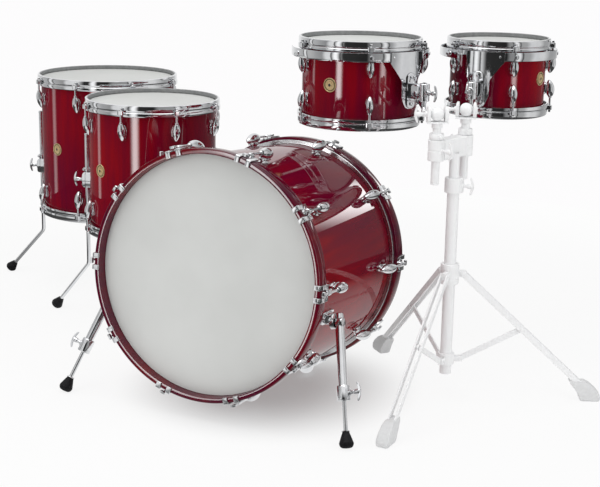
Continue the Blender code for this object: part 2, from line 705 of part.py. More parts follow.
def floor_leg(reach):
    """A floor tom leg: its straight stretch is the Z axis and its foot points to +X."""
    bend = Vector((0.0, 0.0, LEG_BEND_HEIGHT))
    floor_point = Vector((reach, 0.0, 0.0))
    slope = (floor_point - bend).normalized()
    lean = acos(-slope.z)
    tip = floor_point - slope * LEG_FOOT_TIP * tan(lean)
    foot_top = tip - slope * LEG_FOOT_LENGTH
    bend_points = arc_points(bend, (0.0, 0.0, -1.0), slope, LEG_BEND_RADIUS, 3)
    rod = wire_mesh([Vector((0.0, 0.0, LEG_TOP))] + bend_points + [foot_top + slope * ROD_IN_FOOT], LEG_RADIUS)
    rubber = turned_mesh([(0.0, LEG_FOOT_LENGTH), (LEG_RADIUS * 1.5, LEG_FOOT_LENGTH),
                          (LEG_FOOT_RADIUS, LEG_FOOT_LENGTH * 0.45),
                          (LEG_FOOT_TIP, 0.0), (0.0, 0.0)], False, 10)
    return joined([(rod, STILL)], [(rubber, frame_matrix(tip, (1.0, 0.0, 0.0), -slope))])


def leg_bracket():
    """A leg bracket on a shell: plate, block with the bore that the leg slides in, wing screw."""
    plate = box_mesh((SEAT_GAP, -BRACKET_WIDTH / 2, -BRACKET_FOOT),
                     (BRACKET_PLATE_WALL, BRACKET_WIDTH / 2, BRACKET_PLATE_HEIGHT - BRACKET_FOOT))
    out = LEG_OUT + LEG_RADIUS + BRACKET_WALL
    block = box_mesh((BRACKET_PLATE_WALL - 0.001, -BRACKET_WIDTH * 0.46, -BRACKET_FOOT * 0.95),
                     (out, BRACKET_WIDTH * 0.46, BRACKET_HEIGHT - BRACKET_FOOT))
    whole = joined([(plate, STILL)], [(block, STILL)],
                   moved(wing_screw(), Matrix.Translation((out, 0.0, 0.0))))
    bore = rod_mesh((LEG_RADIUS + BRACKET_BORE_CLEARANCE) / cos(pi / 10), -BRACKET_HEIGHT,
                    BRACKET_HEIGHT, 10)
    return boolean_mesh(whole, moved_copy(bore, Matrix.Translation((LEG_OUT, 0.0, 0.0))), "DIFFERENCE")


def build_floor_toms():
    """Two floor toms, each on three legs that slide in brackets and lock with wing screws."""
    bracket = leg_bracket()
    drums = (
        ("floor_16", FLOOR_16_PLACE, FLOOR_16_RADIUS, FLOOR_16_DEPTH, FLOOR_16_RIM,
         FLOOR_16_FIRST_LUG, FLOOR_16_FIRST_LEG, FLOOR_16_FOOT_REACH, FLOOR_16_BRACKET_HEIGHT),
        ("floor_14", FLOOR_14_PLACE, FLOOR_14_RADIUS, FLOOR_14_DEPTH, FLOOR_14_RIM,
         FLOOR_14_FIRST_LUG, FLOOR_14_FIRST_LEG, FLOOR_14_FOOT_REACH, FLOOR_14_BRACKET_HEIGHT))
    for name, spot, radius, depth, rim, first_lug, first_leg, reach, bracket_height in drums:
        phase = first_leg + pi / DRUM_FACETS
        add_upright_drum(name, spot, radius, depth, rim, phase, FLOOR_LUG_COUNT, first_lug,
                         FLOOR_LUG_LENGTH, FLOOR_LUG_RADIUS)
        base = place_on_floor(spot)
        seat = flat_radius(radius, DRUM_FACETS)
        leg = floor_leg(reach - seat - LEG_OUT)
        for i in range(LEG_COUNT):
            letter = "abc"[i]
            turn = Matrix.Translation(base) @ Matrix.Rotation(first_leg + 2 * pi * i / LEG_COUNT, 4, "Z")
            add_object("%s_leg_bracket_%s" % (name, letter), bracket.copy(), CHROME,
                       turn @ Matrix.Translation((seat, 0.0, bracket_height)))
            add_object("%s_leg_%s" % (name, letter), leg.copy(), CHROME,
                       turn @ Matrix.Translation((seat + LEG_OUT, 0.0, 0.0)))


def band_mesh(radius, low, high, wall, sweep, facets):
    """Part of a ring about Z, centred on +X."""
    angles = [-sweep / 2 + sweep * i / facets for i in range(facets + 1)]
    outer = [((radius + wall) * cos(angle), (radius + wall) * sin(angle)) for angle in angles]
    inner = [(radius * cos(angle), radius * sin(angle)) for angle in reversed(angles)]
    return moved_copy(outline_mesh([outer + inner], high - low),
                      Matrix.Translation((0.0, 0.0, (low + high) / 2)))


def suspension_mesh(radius, depth, mount_height):
    """Suspension mount in the frame of the drum's middle, with the arm bracket towards +X:
    a band that hangs on the tension rods, a tapered plate, and the bracket with its wing screw."""
    high = depth / 2 + HOOP_OVERHANG - HOOP_HEIGHT - BAND_DROP
    low = high - BAND_HEIGHT
    step = 2 * pi / TOM_LUG_COUNT
    band = band_mesh(radius + BAND_OUT, low, high, BAND_WALL, BAND_SWEEP, 16)
    tab = box_mesh((ROD_OUT + flat_radius(ROD_RADIUS, 4) + SEAT_GAP, -0.006, low + 0.004),
                   (BAND_OUT + BAND_WALL * 0.4, 0.006, high - 0.004))
    tabs = [(tab, Matrix.Rotation(step * turn, 4, "Z") @ Matrix.Translation((radius, 0.0, 0.0)))
            for turn in (-1.5, -0.5, 0.5, 1.5)]
    plate_in = radius + BAND_OUT + BAND_WALL * 0.4
    sweep = 2.5 * atan2(PLATE_TOP_WIDTH / 2, plate_in)
    plate = band_mesh(plate_in, high - PLATE_HEIGHT, high + 0.0012, PLATE_WALL, sweep, 6)
    edge = [(PLATE_TOP_WIDTH / 2, high + 0.01), (PLATE_TOP_WIDTH / 2, high - PLATE_SHOULDER),
            (PLATE_FOOT_WIDTH / 2, high - PLATE_WAIST), (PLATE_FOOT_WIDTH / 2, high - PLATE_HEEL),
            (PLATE_TOE_WIDTH / 2, high - PLATE_HEIGHT + 0.001),
            (PLATE_TOE_WIDTH / 2, high - PLATE_HEIGHT - 0.01)]
    taper = [(-across, height) for across, height in edge] + edge[::-1]
    upright = Matrix.Rotation(pi / 2, 4, "Z") @ Matrix.Rotation(pi / 2, 4, "X")
    keep = moved_copy(outline_mesh([taper], plate_in), Matrix.Translation((plate_in, 0.0, 0.0)) @ upright)
    plate = boolean_mesh(plate, keep, "INTERSECT")

    plate_out = plate_in + PLATE_WALL
    base = outline_mesh([stadium(MOUNT_PLATE_HEIGHT - MOUNT_PLATE_WIDTH, MOUNT_PLATE_WIDTH / 2, 4)],
                        MOUNT_PLATE_WALL)
    base_at = Matrix.Translation((plate_out + MOUNT_PLATE_WALL * 0.2, 0.0, mount_height)) @ ON_X
    arm_at = radius + ARM_OUT
    half_width, half_height = MOUNT_BLOCK_WIDTH / 2, MOUNT_BLOCK_HEIGHT / 2
    block = box_mesh((plate_out, -half_width * 0.93, mount_height - half_height),
                     (arm_at + ARM_RADIUS + BRACKET_WALL, half_width * 0.93, mount_height + half_height))
    block_end = Matrix.Translation((arm_at + ARM_RADIUS + BRACKET_WALL, 0.0, mount_height))
    whole = joined([(band, STILL)], tabs, [(plate, STILL)], [(base, base_at)], [(block, STILL)],
                   moved(wing_screw(), block_end))
    bore = rod_mesh((ARM_RADIUS + BRACKET_BORE_CLEARANCE) / cos(pi / 10),
                    mount_height - MOUNT_BLOCK_HEIGHT, mount_height + MOUNT_BLOCK_HEIGHT, 10)
    return boolean_mesh(whole, moved_copy(bore, Matrix.Translation((arm_at, 0.0, 0.0))), "DIFFERENCE")


def tom_mounts():
    """For each rack tom: its sizes, the azimuth of its bracket and the arm's place in the bracket."""
    drums = (
        ("tom_12", TOM_12_PLACE, TOM_12_RADIUS, TOM_12_DEPTH, TOM_12_RIM, TOM_12_FIRST_LUG,
         TOM_12_MOUNT_LUG, TOM_12_MOUNT_HEIGHT),
        ("tom_10", TOM_10_PLACE, TOM_10_RADIUS, TOM_10_DEPTH, TOM_10_RIM, TOM_10_FIRST_LUG,
         TOM_10_MOUNT_LUG, TOM_10_MOUNT_HEIGHT))
    for name, spot, radius, depth, rim, first_lug, mount_lug, mount_height in drums:
        azimuth = first_lug + 2 * pi * (mount_lug + 0.5) / TOM_LUG_COUNT
        arm_foot = place_on_floor(spot, mount_height) + polar(radius + ARM_OUT, azimuth)
        yield name, spot, radius, depth, rim, first_lug, azimuth, arm_foot


def arm_frame(ball, arm_foot):
    """Frame at a ball's centre: X towards the drum's bracket, Y the tilt axis, Z up."""
    reach = Vector((arm_foot.x - ball.x, arm_foot.y - ball.y, 0.0))
    return frame_matrix(ball, reach, (0.0, 0.0, 1.0)), reach.length


def build_toms(balls):
    """Two rack toms on suspension mounts, each on an angled arm that ends in a ball."""
    for name, spot, radius, depth, rim, first_lug, azimuth, arm_foot in tom_mounts():
        phase = first_lug + pi / DRUM_FACETS
        drum = add_upright_drum(name, spot, radius, depth, rim, phase, TOM_LUG_COUNT, first_lug,
                                TOM_LUG_LENGTH, TOM_LUG_RADIUS)
        middle = drum.translation.z
        mount = suspension_mesh(radius, depth, arm_foot.z - middle)
        add_object(name + "_suspension", mount, CHROME, drum @ Matrix.Rotation(azimuth, 4, "Z"))
        frame, reach = arm_frame(balls[name], arm_foot)
        elbow = Vector((reach, 0.0, BALL_BELOW_MOUNT - ELBOW_BELOW_MOUNT))
        rise = elbow.normalized()
        top = BALL_BELOW_MOUNT + MOUNT_BLOCK_HEIGHT / 2 + ARM_TOP_SPARE
        bend = arc_points(elbow, (0.0, 0.0, -1.0), -rise, ARM_BEND_RADIUS, 4)
        rod = wire_mesh([Vector((reach, 0.0, top))] + bend + [rise * BALL_RADIUS * 0.5], ARM_RADIUS)
        steps = 6
        ball = turned_mesh([(BALL_RADIUS * sin(pi * i / steps), BALL_RADIUS * cos(pi * i / steps))
                            for i in range(steps + 1)], False, 8)
        arm = joined([(ball, frame_matrix((0.0, 0.0, 0.0), (0.0, 0.0, 1.0), rise))], [(rod, STILL)])
        add_object(name + "_arm", arm, CHROME, frame)


def build_stand():
    """Double tom stand: folding tripod, sliding tube with its twin clamp; gives the ball centres."""
    base = place_on_floor(STAND_PLACE)
    column = Matrix.Translation(base)
    bore = BASE_TUBE_RADIUS - BASE_TUBE_WALL
    clamp_low = BASE_TUBE_TOP - HEIGHT_CLAMP_HEIGHT
    collar_low = COLLAR_PIVOT_HEIGHT - COLLAR_HEIGHT / 2
    collar_high = COLLAR_PIVOT_HEIGHT + COLLAR_HEIGHT / 2
    tube = turned_mesh([
        (HEIGHT_CLAMP_RADIUS, BASE_TUBE_TOP), (HEIGHT_CLAMP_RADIUS, clamp_low),
        (BASE_TUBE_RADIUS, clamp_low), (BASE_TUBE_RADIUS, collar_high), (COLLAR_RADIUS, collar_high),
        (COLLAR_RADIUS, collar_low), (BASE_TUBE_RADIUS, collar_low), (BASE_TUBE_RADIUS, BASE_TUBE_FOOT),
        (bore, BASE_TUBE_FOOT), (bore, BASE_TUBE_TOP)], True, 12)
    cheek_in = BRACE_WALL / 2 + SEAT_GAP
    cheeks = []
    for side in (-1, 1):
        edges = sorted((side * cheek_in, side * (cheek_in + EAR_PLATE_WALL)))
        cheek = box_mesh((COLLAR_RADIUS - 0.003, edges[0], COLLAR_PIVOT_HEIGHT - BRACE_WIDTH * 0.5),
                         (COLLAR_PIVOT_OUT + BRACE_WIDTH * 0.4, edges[1],
                          COLLAR_PIVOT_HEIGHT + BRACE_WIDTH * 0.5))
        cheeks += [(cheek, Matrix.Rotation(radians(azimuth), 4, "Z")) for azimuth in STAND_LEG_AZIMUTHS]
    screw_at = Matrix.Translation((HEIGHT_CLAMP_RADIUS * 0.95, 0.0, (clamp_low + BASE_TUBE_TOP) / 2))
    add_object("stand_base_tube", joined([(tube, STILL)], cheeks, moved(wing_screw(), screw_at)),
               PALE_METAL, column)

    half_gap = LEG_GAP / 2
    hub = turned_mesh([(HUB_RADIUS, HUB_HEIGHT / 2), (HUB_RADIUS, -HUB_HEIGHT / 2),
                       (BASE_TUBE_RADIUS + SEAT_GAP, -HUB_HEIGHT / 2),
                       (BASE_TUBE_RADIUS + SEAT_GAP, HUB_HEIGHT / 2)], True, 12)
    ear = box_mesh((HUB_RADIUS - 0.003, SEAT_GAP - half_gap, -LEG_BAR_WIDTH * 0.55),
                   (HUB_PIVOT_OUT + LEG_BAR_WIDTH / 2, half_gap - SEAT_GAP, LEG_BAR_WIDTH * 0.55))
    ears = [(ear, Matrix.Rotation(radians(azimuth), 4, "Z")) for azimuth in STAND_LEG_AZIMUTHS]
    hub_at = Matrix.Translation(base + Vector((0.0, 0.0, HUB_PIVOT_HEIGHT)))
    add_object("stand_hub", joined([(hub, STILL)], ears), PALE_METAL, hub_at)

    hub_pivot = Vector((HUB_PIVOT_OUT, 0.0, HUB_PIVOT_HEIGHT))
    run = Vector((STAND_FOOT_REACH, 0.0, STAND_FOOT_HEIGHT * 0.4)) - hub_pivot
    bar_length = run.length - STAND_FOOT_LENGTH * 0.3
    bar = moved_copy(outline_mesh([stadium(bar_length, LEG_BAR_WIDTH / 2, 3)], LEG_BAR_WALL),
                     Matrix.Translation((bar_length / 2, 0.0, 0.0)))
    lean = Matrix.Rotation(atan2(-run.z, run.x), 4, "Y")
    on_edge = Matrix.Rotation(pi / 2, 4, "X")
    bars = [(bar, Matrix.Translation((0.0, side * (half_gap + LEG_BAR_WALL / 2), 0.0)) @ lean @ on_edge)
            for side in (-1, 1)]
    foot = box_mesh((STAND_FOOT_REACH - HUB_PIVOT_OUT - STAND_FOOT_LENGTH * 0.62,
                     -STAND_FOOT_WIDTH / 2, -HUB_PIVOT_HEIGHT),
                    (STAND_FOOT_REACH - HUB_PIVOT_OUT + STAND_FOOT_LENGTH * 0.38,
                     STAND_FOOT_WIDTH / 2, STAND_FOOT_HEIGHT - HUB_PIVOT_HEIGHT))
    leg = joined(bars, [(foot, STILL)])
    brace_pivot = Vector((COLLAR_PIVOT_OUT, 0.0, COLLAR_PIVOT_HEIGHT))
    brace_run = hub_pivot + run * BRACE_SHARE - brace_pivot
    flat = moved_copy(outline_mesh([stadium(brace_run.length, BRACE_WIDTH / 2, 3)], BRACE_WALL),
                      Matrix.Translation((brace_run.length / 2, 0.0, 0.0)))
    brace_lean = Matrix.Rotation(atan2(-brace_run.z, brace_run.x), 4, "Y")
    brace = moved_copy(flat, brace_lean @ on_edge)
    for letter, azimuth in zip("abc", STAND_LEG_AZIMUTHS):
        turn = column @ Matrix.Rotation(radians(azimuth), 4, "Z")
        add_object("stand_leg_" + letter, leg.copy(), PALE_METAL, turn @ Matrix.Translation(hub_pivot))
        add_object("stand_brace_" + letter, brace.copy(), PALE_METAL,
                   turn @ Matrix.Translation(brace_pivot))

    middle = base + polar(POST_SIDE_OFFSET, POST_BAR_AZIMUTH + pi / 2)
    bores = [circle((POST_RADIUS + SEAT_GAP) / cos(pi / 12), 12, (side * POST_PITCH / 2, 0.0))
             for side in (-1, 1)]
    twin = outline_mesh([stadium(POST_PITCH, TWIN_CLAMP_RADIUS, 5)] + bores, TWIN_CLAMP_HEIGHT)
    bar_middle = TWIN_CLAMP_FOOT + TWIN_CLAMP_HEIGHT / 2
    bar_frame = Matrix.Translation(middle) @ Matrix.Rotation(POST_BAR_AZIMUTH, 4, "Z")
    bar_frame = bar_frame @ Matrix.Translation((0.0, 0.0, bar_middle))
    screws = []
    for side in (-1, 1):
        at_post = Matrix.Translation((side * POST_PITCH / 2, side * TWIN_CLAMP_RADIUS * 0.9, 0.0))
        screws += moved(wing_screw(), bar_frame @ at_post @ Matrix.Rotation(side * pi / 2, 4, "Z"))
    sliding = turned_mesh([(HEIGHT_TUBE_RADIUS, TWIN_CLAMP_FOOT + TWIN_CLAMP_HEIGHT * 0.3),
                           (HEIGHT_TUBE_RADIUS, HEIGHT_TUBE_FOOT),
                           (HEIGHT_TUBE_RADIUS - HEIGHT_TUBE_WALL, HEIGHT_TUBE_FOOT),
                           (HEIGHT_TUBE_RADIUS - HEIGHT_TUBE_WALL,
                            TWIN_CLAMP_FOOT + TWIN_CLAMP_HEIGHT * 0.3)], True, 12)
    whole = joined([(sliding, column)], [(twin, bar_frame)], screws)
    add_object("stand_height_tube", moved_copy(whole, column.inverted()), PALE_METAL, column)
    balls = {}
    for name, side, mount_height in (("tom_12", -1, TOM_12_MOUNT_HEIGHT), ("tom_10", 1, TOM_10_MOUNT_HEIGHT)):
        post = middle + polar(side * POST_PITCH / 2, POST_BAR_AZIMUTH)
        balls[name] = Vector((post.x, post.y, mount_height - BALL_BELOW_MOUNT))
    return balls


def build_posts(balls):
    """The two posts with their memory locks, and the ball clamp on top of each."""
    inner = BALL_RADIUS + SEAT_GAP
    outer = inner + YOKE_WALL
    low = -inner - YOKE_BASE
    high = BALL_RADIUS * 1.15
    top = low - SEAT_GAP
    yoke = outline_mesh([[(-outer, low), (outer, low), (outer, high), (inner, high),
                          (inner, -inner), (-inner, -inner), (-inner, high), (-outer, high)]],
                        YOKE_DEPTH)
    across = Matrix.Rotation(pi / 2, 4, "Z") @ Matrix.Rotation(pi / 2, 4, "X")
    side = Matrix.Translation((0.0, outer, 0.0)) @ Matrix.Rotation(pi / 2, 4, "Z")
    clamp = joined([(yoke, across)], moved(wing_screw(), side))
    for name, spot, radius, depth, rim, first_lug, azimuth, arm_foot in tom_mounts():
        frame, reach = arm_frame(balls[name], arm_foot)
        lock_low = TWIN_CLAMP_FOOT + TWIN_CLAMP_HEIGHT + SEAT_GAP - balls[name].z
        lock_high = lock_low + LOCK_HEIGHT
        foot = POST_FOOT - balls[name].z
        post = turned_mesh([(0.0, top), (POST_RADIUS, top), (POST_RADIUS, lock_high),
                            (LOCK_RADIUS, lock_high), (LOCK_RADIUS, lock_low), (POST_RADIUS, lock_low),
                            (POST_RADIUS, foot), (0.0, foot)], False, 12)
        add_object(name + "_post", post, PALE_METAL, frame)
        add_object(name + "_ball_clamp", clamp.copy(), PALE_METAL, frame)


def main():
    clear_scene()
    frame = build_bass_drum()
    build_spurs(frame)
    build_floor_toms()
    balls = build_stand()
    build_posts(balls)
    build_toms(balls)
    for helper in list(cutters.objects):
        bpy.data.objects.remove(helper, do_unlink=True)


main()
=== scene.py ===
import json
from math import acos, asin, atan2, cos, pi, radians, sin, tan

import bpy
from mathutils import Matrix, Vector

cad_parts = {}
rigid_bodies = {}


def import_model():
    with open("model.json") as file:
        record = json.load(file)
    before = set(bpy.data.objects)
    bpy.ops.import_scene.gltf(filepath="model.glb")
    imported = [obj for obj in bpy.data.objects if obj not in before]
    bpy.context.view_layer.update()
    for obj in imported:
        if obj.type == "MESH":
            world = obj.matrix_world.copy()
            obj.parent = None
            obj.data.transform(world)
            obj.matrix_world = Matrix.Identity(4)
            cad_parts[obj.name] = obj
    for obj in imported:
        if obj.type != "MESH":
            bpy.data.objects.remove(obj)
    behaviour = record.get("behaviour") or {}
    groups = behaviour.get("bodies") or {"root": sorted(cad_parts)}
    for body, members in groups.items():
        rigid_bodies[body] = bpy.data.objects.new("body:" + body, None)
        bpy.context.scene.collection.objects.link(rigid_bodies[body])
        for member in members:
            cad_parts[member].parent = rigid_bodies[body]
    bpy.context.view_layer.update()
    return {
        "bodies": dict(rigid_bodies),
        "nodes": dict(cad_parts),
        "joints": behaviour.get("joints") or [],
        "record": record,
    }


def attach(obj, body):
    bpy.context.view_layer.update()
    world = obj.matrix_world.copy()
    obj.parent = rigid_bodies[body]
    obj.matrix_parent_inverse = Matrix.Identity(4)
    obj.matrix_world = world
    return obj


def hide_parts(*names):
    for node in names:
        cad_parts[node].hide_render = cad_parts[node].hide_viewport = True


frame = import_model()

HOOP_OVERHANG = 0.0130
ROD_OUT = 0.0165
LUG_BELOW_EDGE = 0.0360
LEG_OUT = 0.0315
BASS_PLACE = (0.18964, -0.3404)
BASS_RADIUS = 0.2794
BASS_DEPTH = 0.4572
BASS_TILT = radians(5.1)
BASS_HOOP_IN = 0.2840
BASS_HOOP_OUT = 0.2968
BASS_HOOP_WIDTH = 0.039
BASS_HOOP_END = 0.2565
BASS_ROD_OUT = 0.0262
BASS_LUG_HIGH = 0.1766
BASS_LUGS = 10
STAND_PLACE = Vector((0.64964, -0.1934, 0.0))
STAND_LEG_AZIMUTHS = (138.0, 268.0, 23.2)
HUB_PIVOT = Vector((0.034, 0.0, 0.315))
COLLAR_PIVOT = Vector((0.034, 0.0, 0.099))
BALL_HEIGHT = 0.708
BALL_RADIUS = 0.0165
ARM_LEVEL = 0.672
TOM_MOUNT_HEIGHT = 0.725
LEG_BEND_HEIGHT = 0.147
LEG_TOP = 0.534
POST_PITCH = 0.1116
TWIN_CLAMP_HEIGHT = 0.623
STAND_LEG_END = Vector((0.360, 0.0, 0.016))
BRACE_SHARE = 0.4545
ARM_OUT = 0.0780
FOOT_TIP = 0.0070
SPUR_AZIMUTH = radians(-15.0)
SPUR_FOOT = (0.381, -0.276)
NOWHERE = (0.0, 0.0, 0.0)
SIDEWAYS = (1.0, 0.0, 0.0)
UPWARDS = (0.0, 0.0, 1.0)
TOM_12_BRACKET = radians(338.0)
TOM_10_BRACKET = radians(269.0)

# Each kind of lug: length, width, share of the depth, and lean in degrees
FLOOR_LUG = (0.051, 0.0115, 1.0, 10.5)
TOM_LUG = (0.045, 0.0105, 1.18, 7.0)
BASS_LUG = (0.066, 0.0125, 1.18, 7.0)

# The camera as it was fitted to the photo, and the middle of the shadow painted on the floor under the bass
# drum
FOCAL_LENGTH = 78.144
LENS_SHIFT = (0.003, -0.045)
CAMERA_PLACE = (1.62264, -3.1074, 1.161)
CAMERA_PAN = radians(25.38)
CAMERA_TILT = radians(90.0 - 13.13)
CAMERA_ROLL = radians(1.01)
PAINTED_SHADOW_MIDDLE = (0.23, -0.33, 0.0)


def moved(x=0.0, y=0.0, z=0.0):
    return Matrix.Translation((x, y, z))


def rotated(angle, axis="Z"):
    return Matrix.Rotation(angle, 4, axis)


def mm(points, *start):
    """Points written in millimetres from a start in metres."""
    return [tuple(a / 1000 + b for a, b in zip(point, start + (0.0,) * len(point))) for point in points]


def two_way(points, index):
    """The points, and then the same ones back, with the other sign at the index."""
    return points + [tuple(-v if i == index else v for i, v in enumerate(p)) for p in reversed(points)]


STILL = Matrix.Identity(4)
FLIP = Matrix.Rotation(pi, 4, "X")
ON_X = Matrix.Rotation(pi / 2, 4, "Y")


class Drum:
    """An upright drum: its place on the floor, shell, and the azimuths of what is bolted to it."""

    def __init__(self, name, body, place, radius, depth, rim, lugs, first_lug, lug, badge):
        self.name = name
        self.body = body
        self.radius = radius
        self.depth = depth
        self.middle = rim - HOOP_OVERHANG - depth / 2
        self.lug_high = depth / 2 - LUG_BELOW_EDGE
        self.lugs = lugs
        self.first_lug = radians(first_lug)
        self.lug = lug
        self.badge = radians(badge)
        self.frame = moved(place[0], place[1], self.middle)


FLOOR_16 = Drum("floor_16", "kit", (-0.64836, 0.2821), 0.2032, 0.4064, 0.667, 8, 8.0, FLOOR_LUG, 254.5)
FLOOR_14 = Drum("floor_14", "kit", (-0.30936, -0.0019), 0.1778, 0.3556, 0.651, 8, 6.0, FLOOR_LUG, 248.0)
TOM_12 = Drum("tom_12", "tom_12", (0.28964, 0.0676), 0.1524, 0.2032, 0.849, 5, 230.0, TOM_LUG, 263.0)
TOM_10 = Drum("tom_10", "tom_10", (0.59664, 0.2916), 0.1270, 0.1778, 0.847, 5, 233.0, TOM_LUG, 349.0)


def clear_hands():
    """Leaves edit mode with nothing selected, so that the next operator sees only its own piece."""
    if bpy.context.object and bpy.context.object.mode != "OBJECT":
        bpy.ops.object.mode_set(mode="OBJECT")
    bpy.ops.object.select_all(action="DESELECT")


def hold(piece):
    clear_hands()
    bpy.context.view_layer.objects.active = piece
    piece.select_set(True)


def settle(piece):
    """Moves the piece's place into its mesh."""
    hold(piece)
    bpy.ops.object.transform_apply(location=True, rotation=True, scale=True)
    return piece


def edit(piece, pick="SELECT"):
    hold(piece)
    bpy.ops.object.mode_set(mode="EDIT")
    bpy.ops.mesh.select_mode(type="VERT")
    bpy.ops.mesh.select_all(action=pick)


def pick_points(piece, wanted):
    """Selects the piece's points for which wanted(place) holds, ready for edit mode."""
    edit(piece, "DESELECT")
    bpy.ops.object.mode_set(mode="OBJECT")
    for point in piece.data.vertices:
        point.select = bool(wanted(point.co))
    bpy.ops.object.mode_set(mode="EDIT")


def close_up(piece, angle=35.0):
    """Merges doubled points, turns the faces outwards and shades the piece smooth by angle."""
    edit(piece)
    bpy.ops.mesh.remove_doubles(threshold=0.00002)
    bpy.ops.mesh.normals_make_consistent(inside=False)
    hold(piece)
    bpy.ops.object.shade_smooth_by_angle(angle=radians(angle))
    return piece


def apply_modifiers(piece):
    hold(piece)
    for modifier in list(piece.modifiers):
        bpy.ops.object.modifier_apply(modifier=modifier.name)
    return piece


def softened(piece, width, segments=2, angle=35.0):
    """Rounds the piece's sharp edges."""
    bevel = piece.modifiers.new("soft edges", "BEVEL")
    bevel.width = width
    bevel.segments = segments
    bevel.limit_method = "ANGLE"
    bevel.angle_limit = radians(30.0)
    bevel.harden_normals = False
    return close_up(apply_modifiers(piece), angle)


def set_down(piece, at, finish):
    """Gives a new piece its place and its finish, if they are already known."""
    if finish:
        finish_with(piece, finish)
    return placed(piece, at) if at else piece


def extend(way, size, middle, extrude):
    """Extrudes what is selected by the way, and scales the new end about its middle."""
    extrude(TRANSFORM_OT_translate={"value": way})
    bpy.ops.transform.resize(value=size, center_override=middle)


def turned(name, outline, facets=48, ring=False, angle=35.0, at=None, finish=None):
    """A turned piece about Z: a circle drawn along the outline's (radius, height) points. A ring's
    outline goes round and meets its own start; any other one is closed by flat ends."""
    clear_hands()
    radius, height = outline[0]
    bpy.ops.mesh.primitive_circle_add(vertices=facets, radius=radius, location=(0.0, 0.0, height),
        fill_type="NOTHING" if ring else "NGON")
    piece = settle(bpy.context.object)
    piece.name = name
    edit(piece)
    extrude = bpy.ops.mesh.extrude_edges_move if ring else bpy.ops.mesh.extrude_region_move
    for next_radius, next_height in list(outline[1:]) + ([outline[0]] if ring else []):
        change = next_radius / radius
        extend((0.0, 0.0, next_height - height), (change, change, 1.0), (0.0, 0.0, next_height), extrude)
        radius, height = next_radius, next_height
    return set_down(close_up(piece, angle), at, finish)


def block(name, low, high, soft=0.0, segments=2):
    """A block from corner to corner, with rounded edges."""
    clear_hands()
    low, high = Vector(low), Vector(high)
    bpy.ops.mesh.primitive_cube_add(size=1.0, location=(low + high) / 2)
    piece = bpy.context.object
    piece.name = name
    piece.scale = high - low
    settle(piece)
    return softened(piece, soft, segments) if soft else piece


def swept(name, inner, outer, low, high, start, sweep, steps, soft):
    """A band about Z: a small upright rectangle with rounded corners, spun through the sweep."""
    clear_hands()
    bpy.ops.mesh.primitive_plane_add(size=1.0, location=((inner + outer) / 2, 0.0, (low + high) / 2),
        rotation=(pi / 2, 0.0, 0.0))
    piece = bpy.context.object
    piece.name = name
    piece.scale = (outer - inner, high - low, 1.0)
    settle(piece)
    edit(piece)
    bpy.ops.mesh.bevel(offset=soft, segments=2, affect="VERTICES")
    bpy.ops.mesh.select_all(action="SELECT")
    bpy.ops.mesh.spin(steps=steps, angle=-sweep, center=(0.0, 0.0, 0.0), axis=(0.0, 0.0, 1.0))
    return placed(close_up(piece, 30.0), rotated(start))


def bent_rod(name, radius, top, corner, end, bend_radius, facets=20):
    """A rod in the XZ plane: straight from the top point to the corner, round the bend, to the end."""
    clear_hands()
    top, corner, end = Vector(top), Vector(corner), Vector(end)
    first, second = (corner - top).normalized(), (end - corner).normalized()
    bend = acos(first.dot(second))
    back = bend_radius * tan(bend / 2)
    upright = first.rotation_difference(Vector((0.0, 0.0, -1.0))).inverted()
    bpy.ops.mesh.primitive_circle_add(vertices=facets, radius=radius, fill_type="NOTHING", location=top,
        rotation=upright.to_euler())
    piece = settle(bpy.context.object)
    piece.name = name
    edit(piece)
    start_bend = corner - first * back
    bpy.ops.mesh.extrude_edges_move(TRANSFORM_OT_translate={"value": start_bend - top})
    axis = first.cross(second).normalized()
    centre = start_bend + axis.cross(first) * bend_radius
    bpy.ops.mesh.spin(steps=8, angle=-bend, center=centre, axis=axis)
    end_bend = corner + second * back
    bpy.ops.mesh.extrude_edges_move(TRANSFORM_OT_translate={"value": end - end_bend})
    bpy.ops.mesh.select_all(action="SELECT")
    bpy.ops.mesh.fill_holes(sides=0)
    return close_up(piece, 40.0)


def finish_with(piece, *materials):
    piece.data.materials.clear()
    for material in materials:
        piece.data.materials.append(material)
    return piece


def placed(piece, matrix):
    piece.data.transform(matrix)
    return piece


def copies(piece, places):
    """The piece at every place, each with its own mesh; the pattern itself is used up."""
    made = []
    for place in places:
        twin = piece.copy()
        twin.data = piece.data.copy()
        twin.data.transform(place)
        bpy.context.scene.collection.objects.link(twin)
        made.append(twin)
    bpy.data.objects.remove(piece, do_unlink=True)
    return made


def gathered(name, pieces, finish=None):
    """Joins the pieces into one. They keep their own finishes, and those without one get the finish."""
    clear_hands()
    for piece in pieces:
        if finish and not piece.data.materials:
            finish_with(piece, finish)
        piece.select_set(True)
    bpy.context.view_layer.objects.active = pieces[0]
    if len(pieces) > 1:
        bpy.ops.object.join()
    made = bpy.context.object
    made.name = name
    made.data.name = name
    return made


def on_body(piece, body, node=None):
    """Gives the finished piece its body and hides the solid that it stands for, which has the piece's own
    name if none is given."""
    name = piece.name.replace(",", "").replace(" ", "_")
    piece.name = name
    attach(piece, body)
    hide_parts(node or name)


def polar(radius, azimuth, height=0.0):
    return Vector((radius * cos(azimuth), radius * sin(azimuth), height))


def around(count, first, radius, height=0.0):
    """Places round Z with X pointing outwards."""
    return [rotated(first + 2 * pi * i / count) @ moved(radius, z=height) for i in range(count)]


def two_rows(count, first, radius, height):
    """Places round Z at the height, and upside down at the same depth."""
    below = [place @ FLIP for place in around(count, first, radius, -height)]
    return around(count, first, radius, height) + below


def frame_at(origin, x_axis, z_axis):
    z = Vector(z_axis).normalized()
    y = z.cross(Vector(x_axis)).normalized()
    return Matrix.Translation(origin) @ Matrix((y.cross(z), y, z)).transposed().to_4x4()


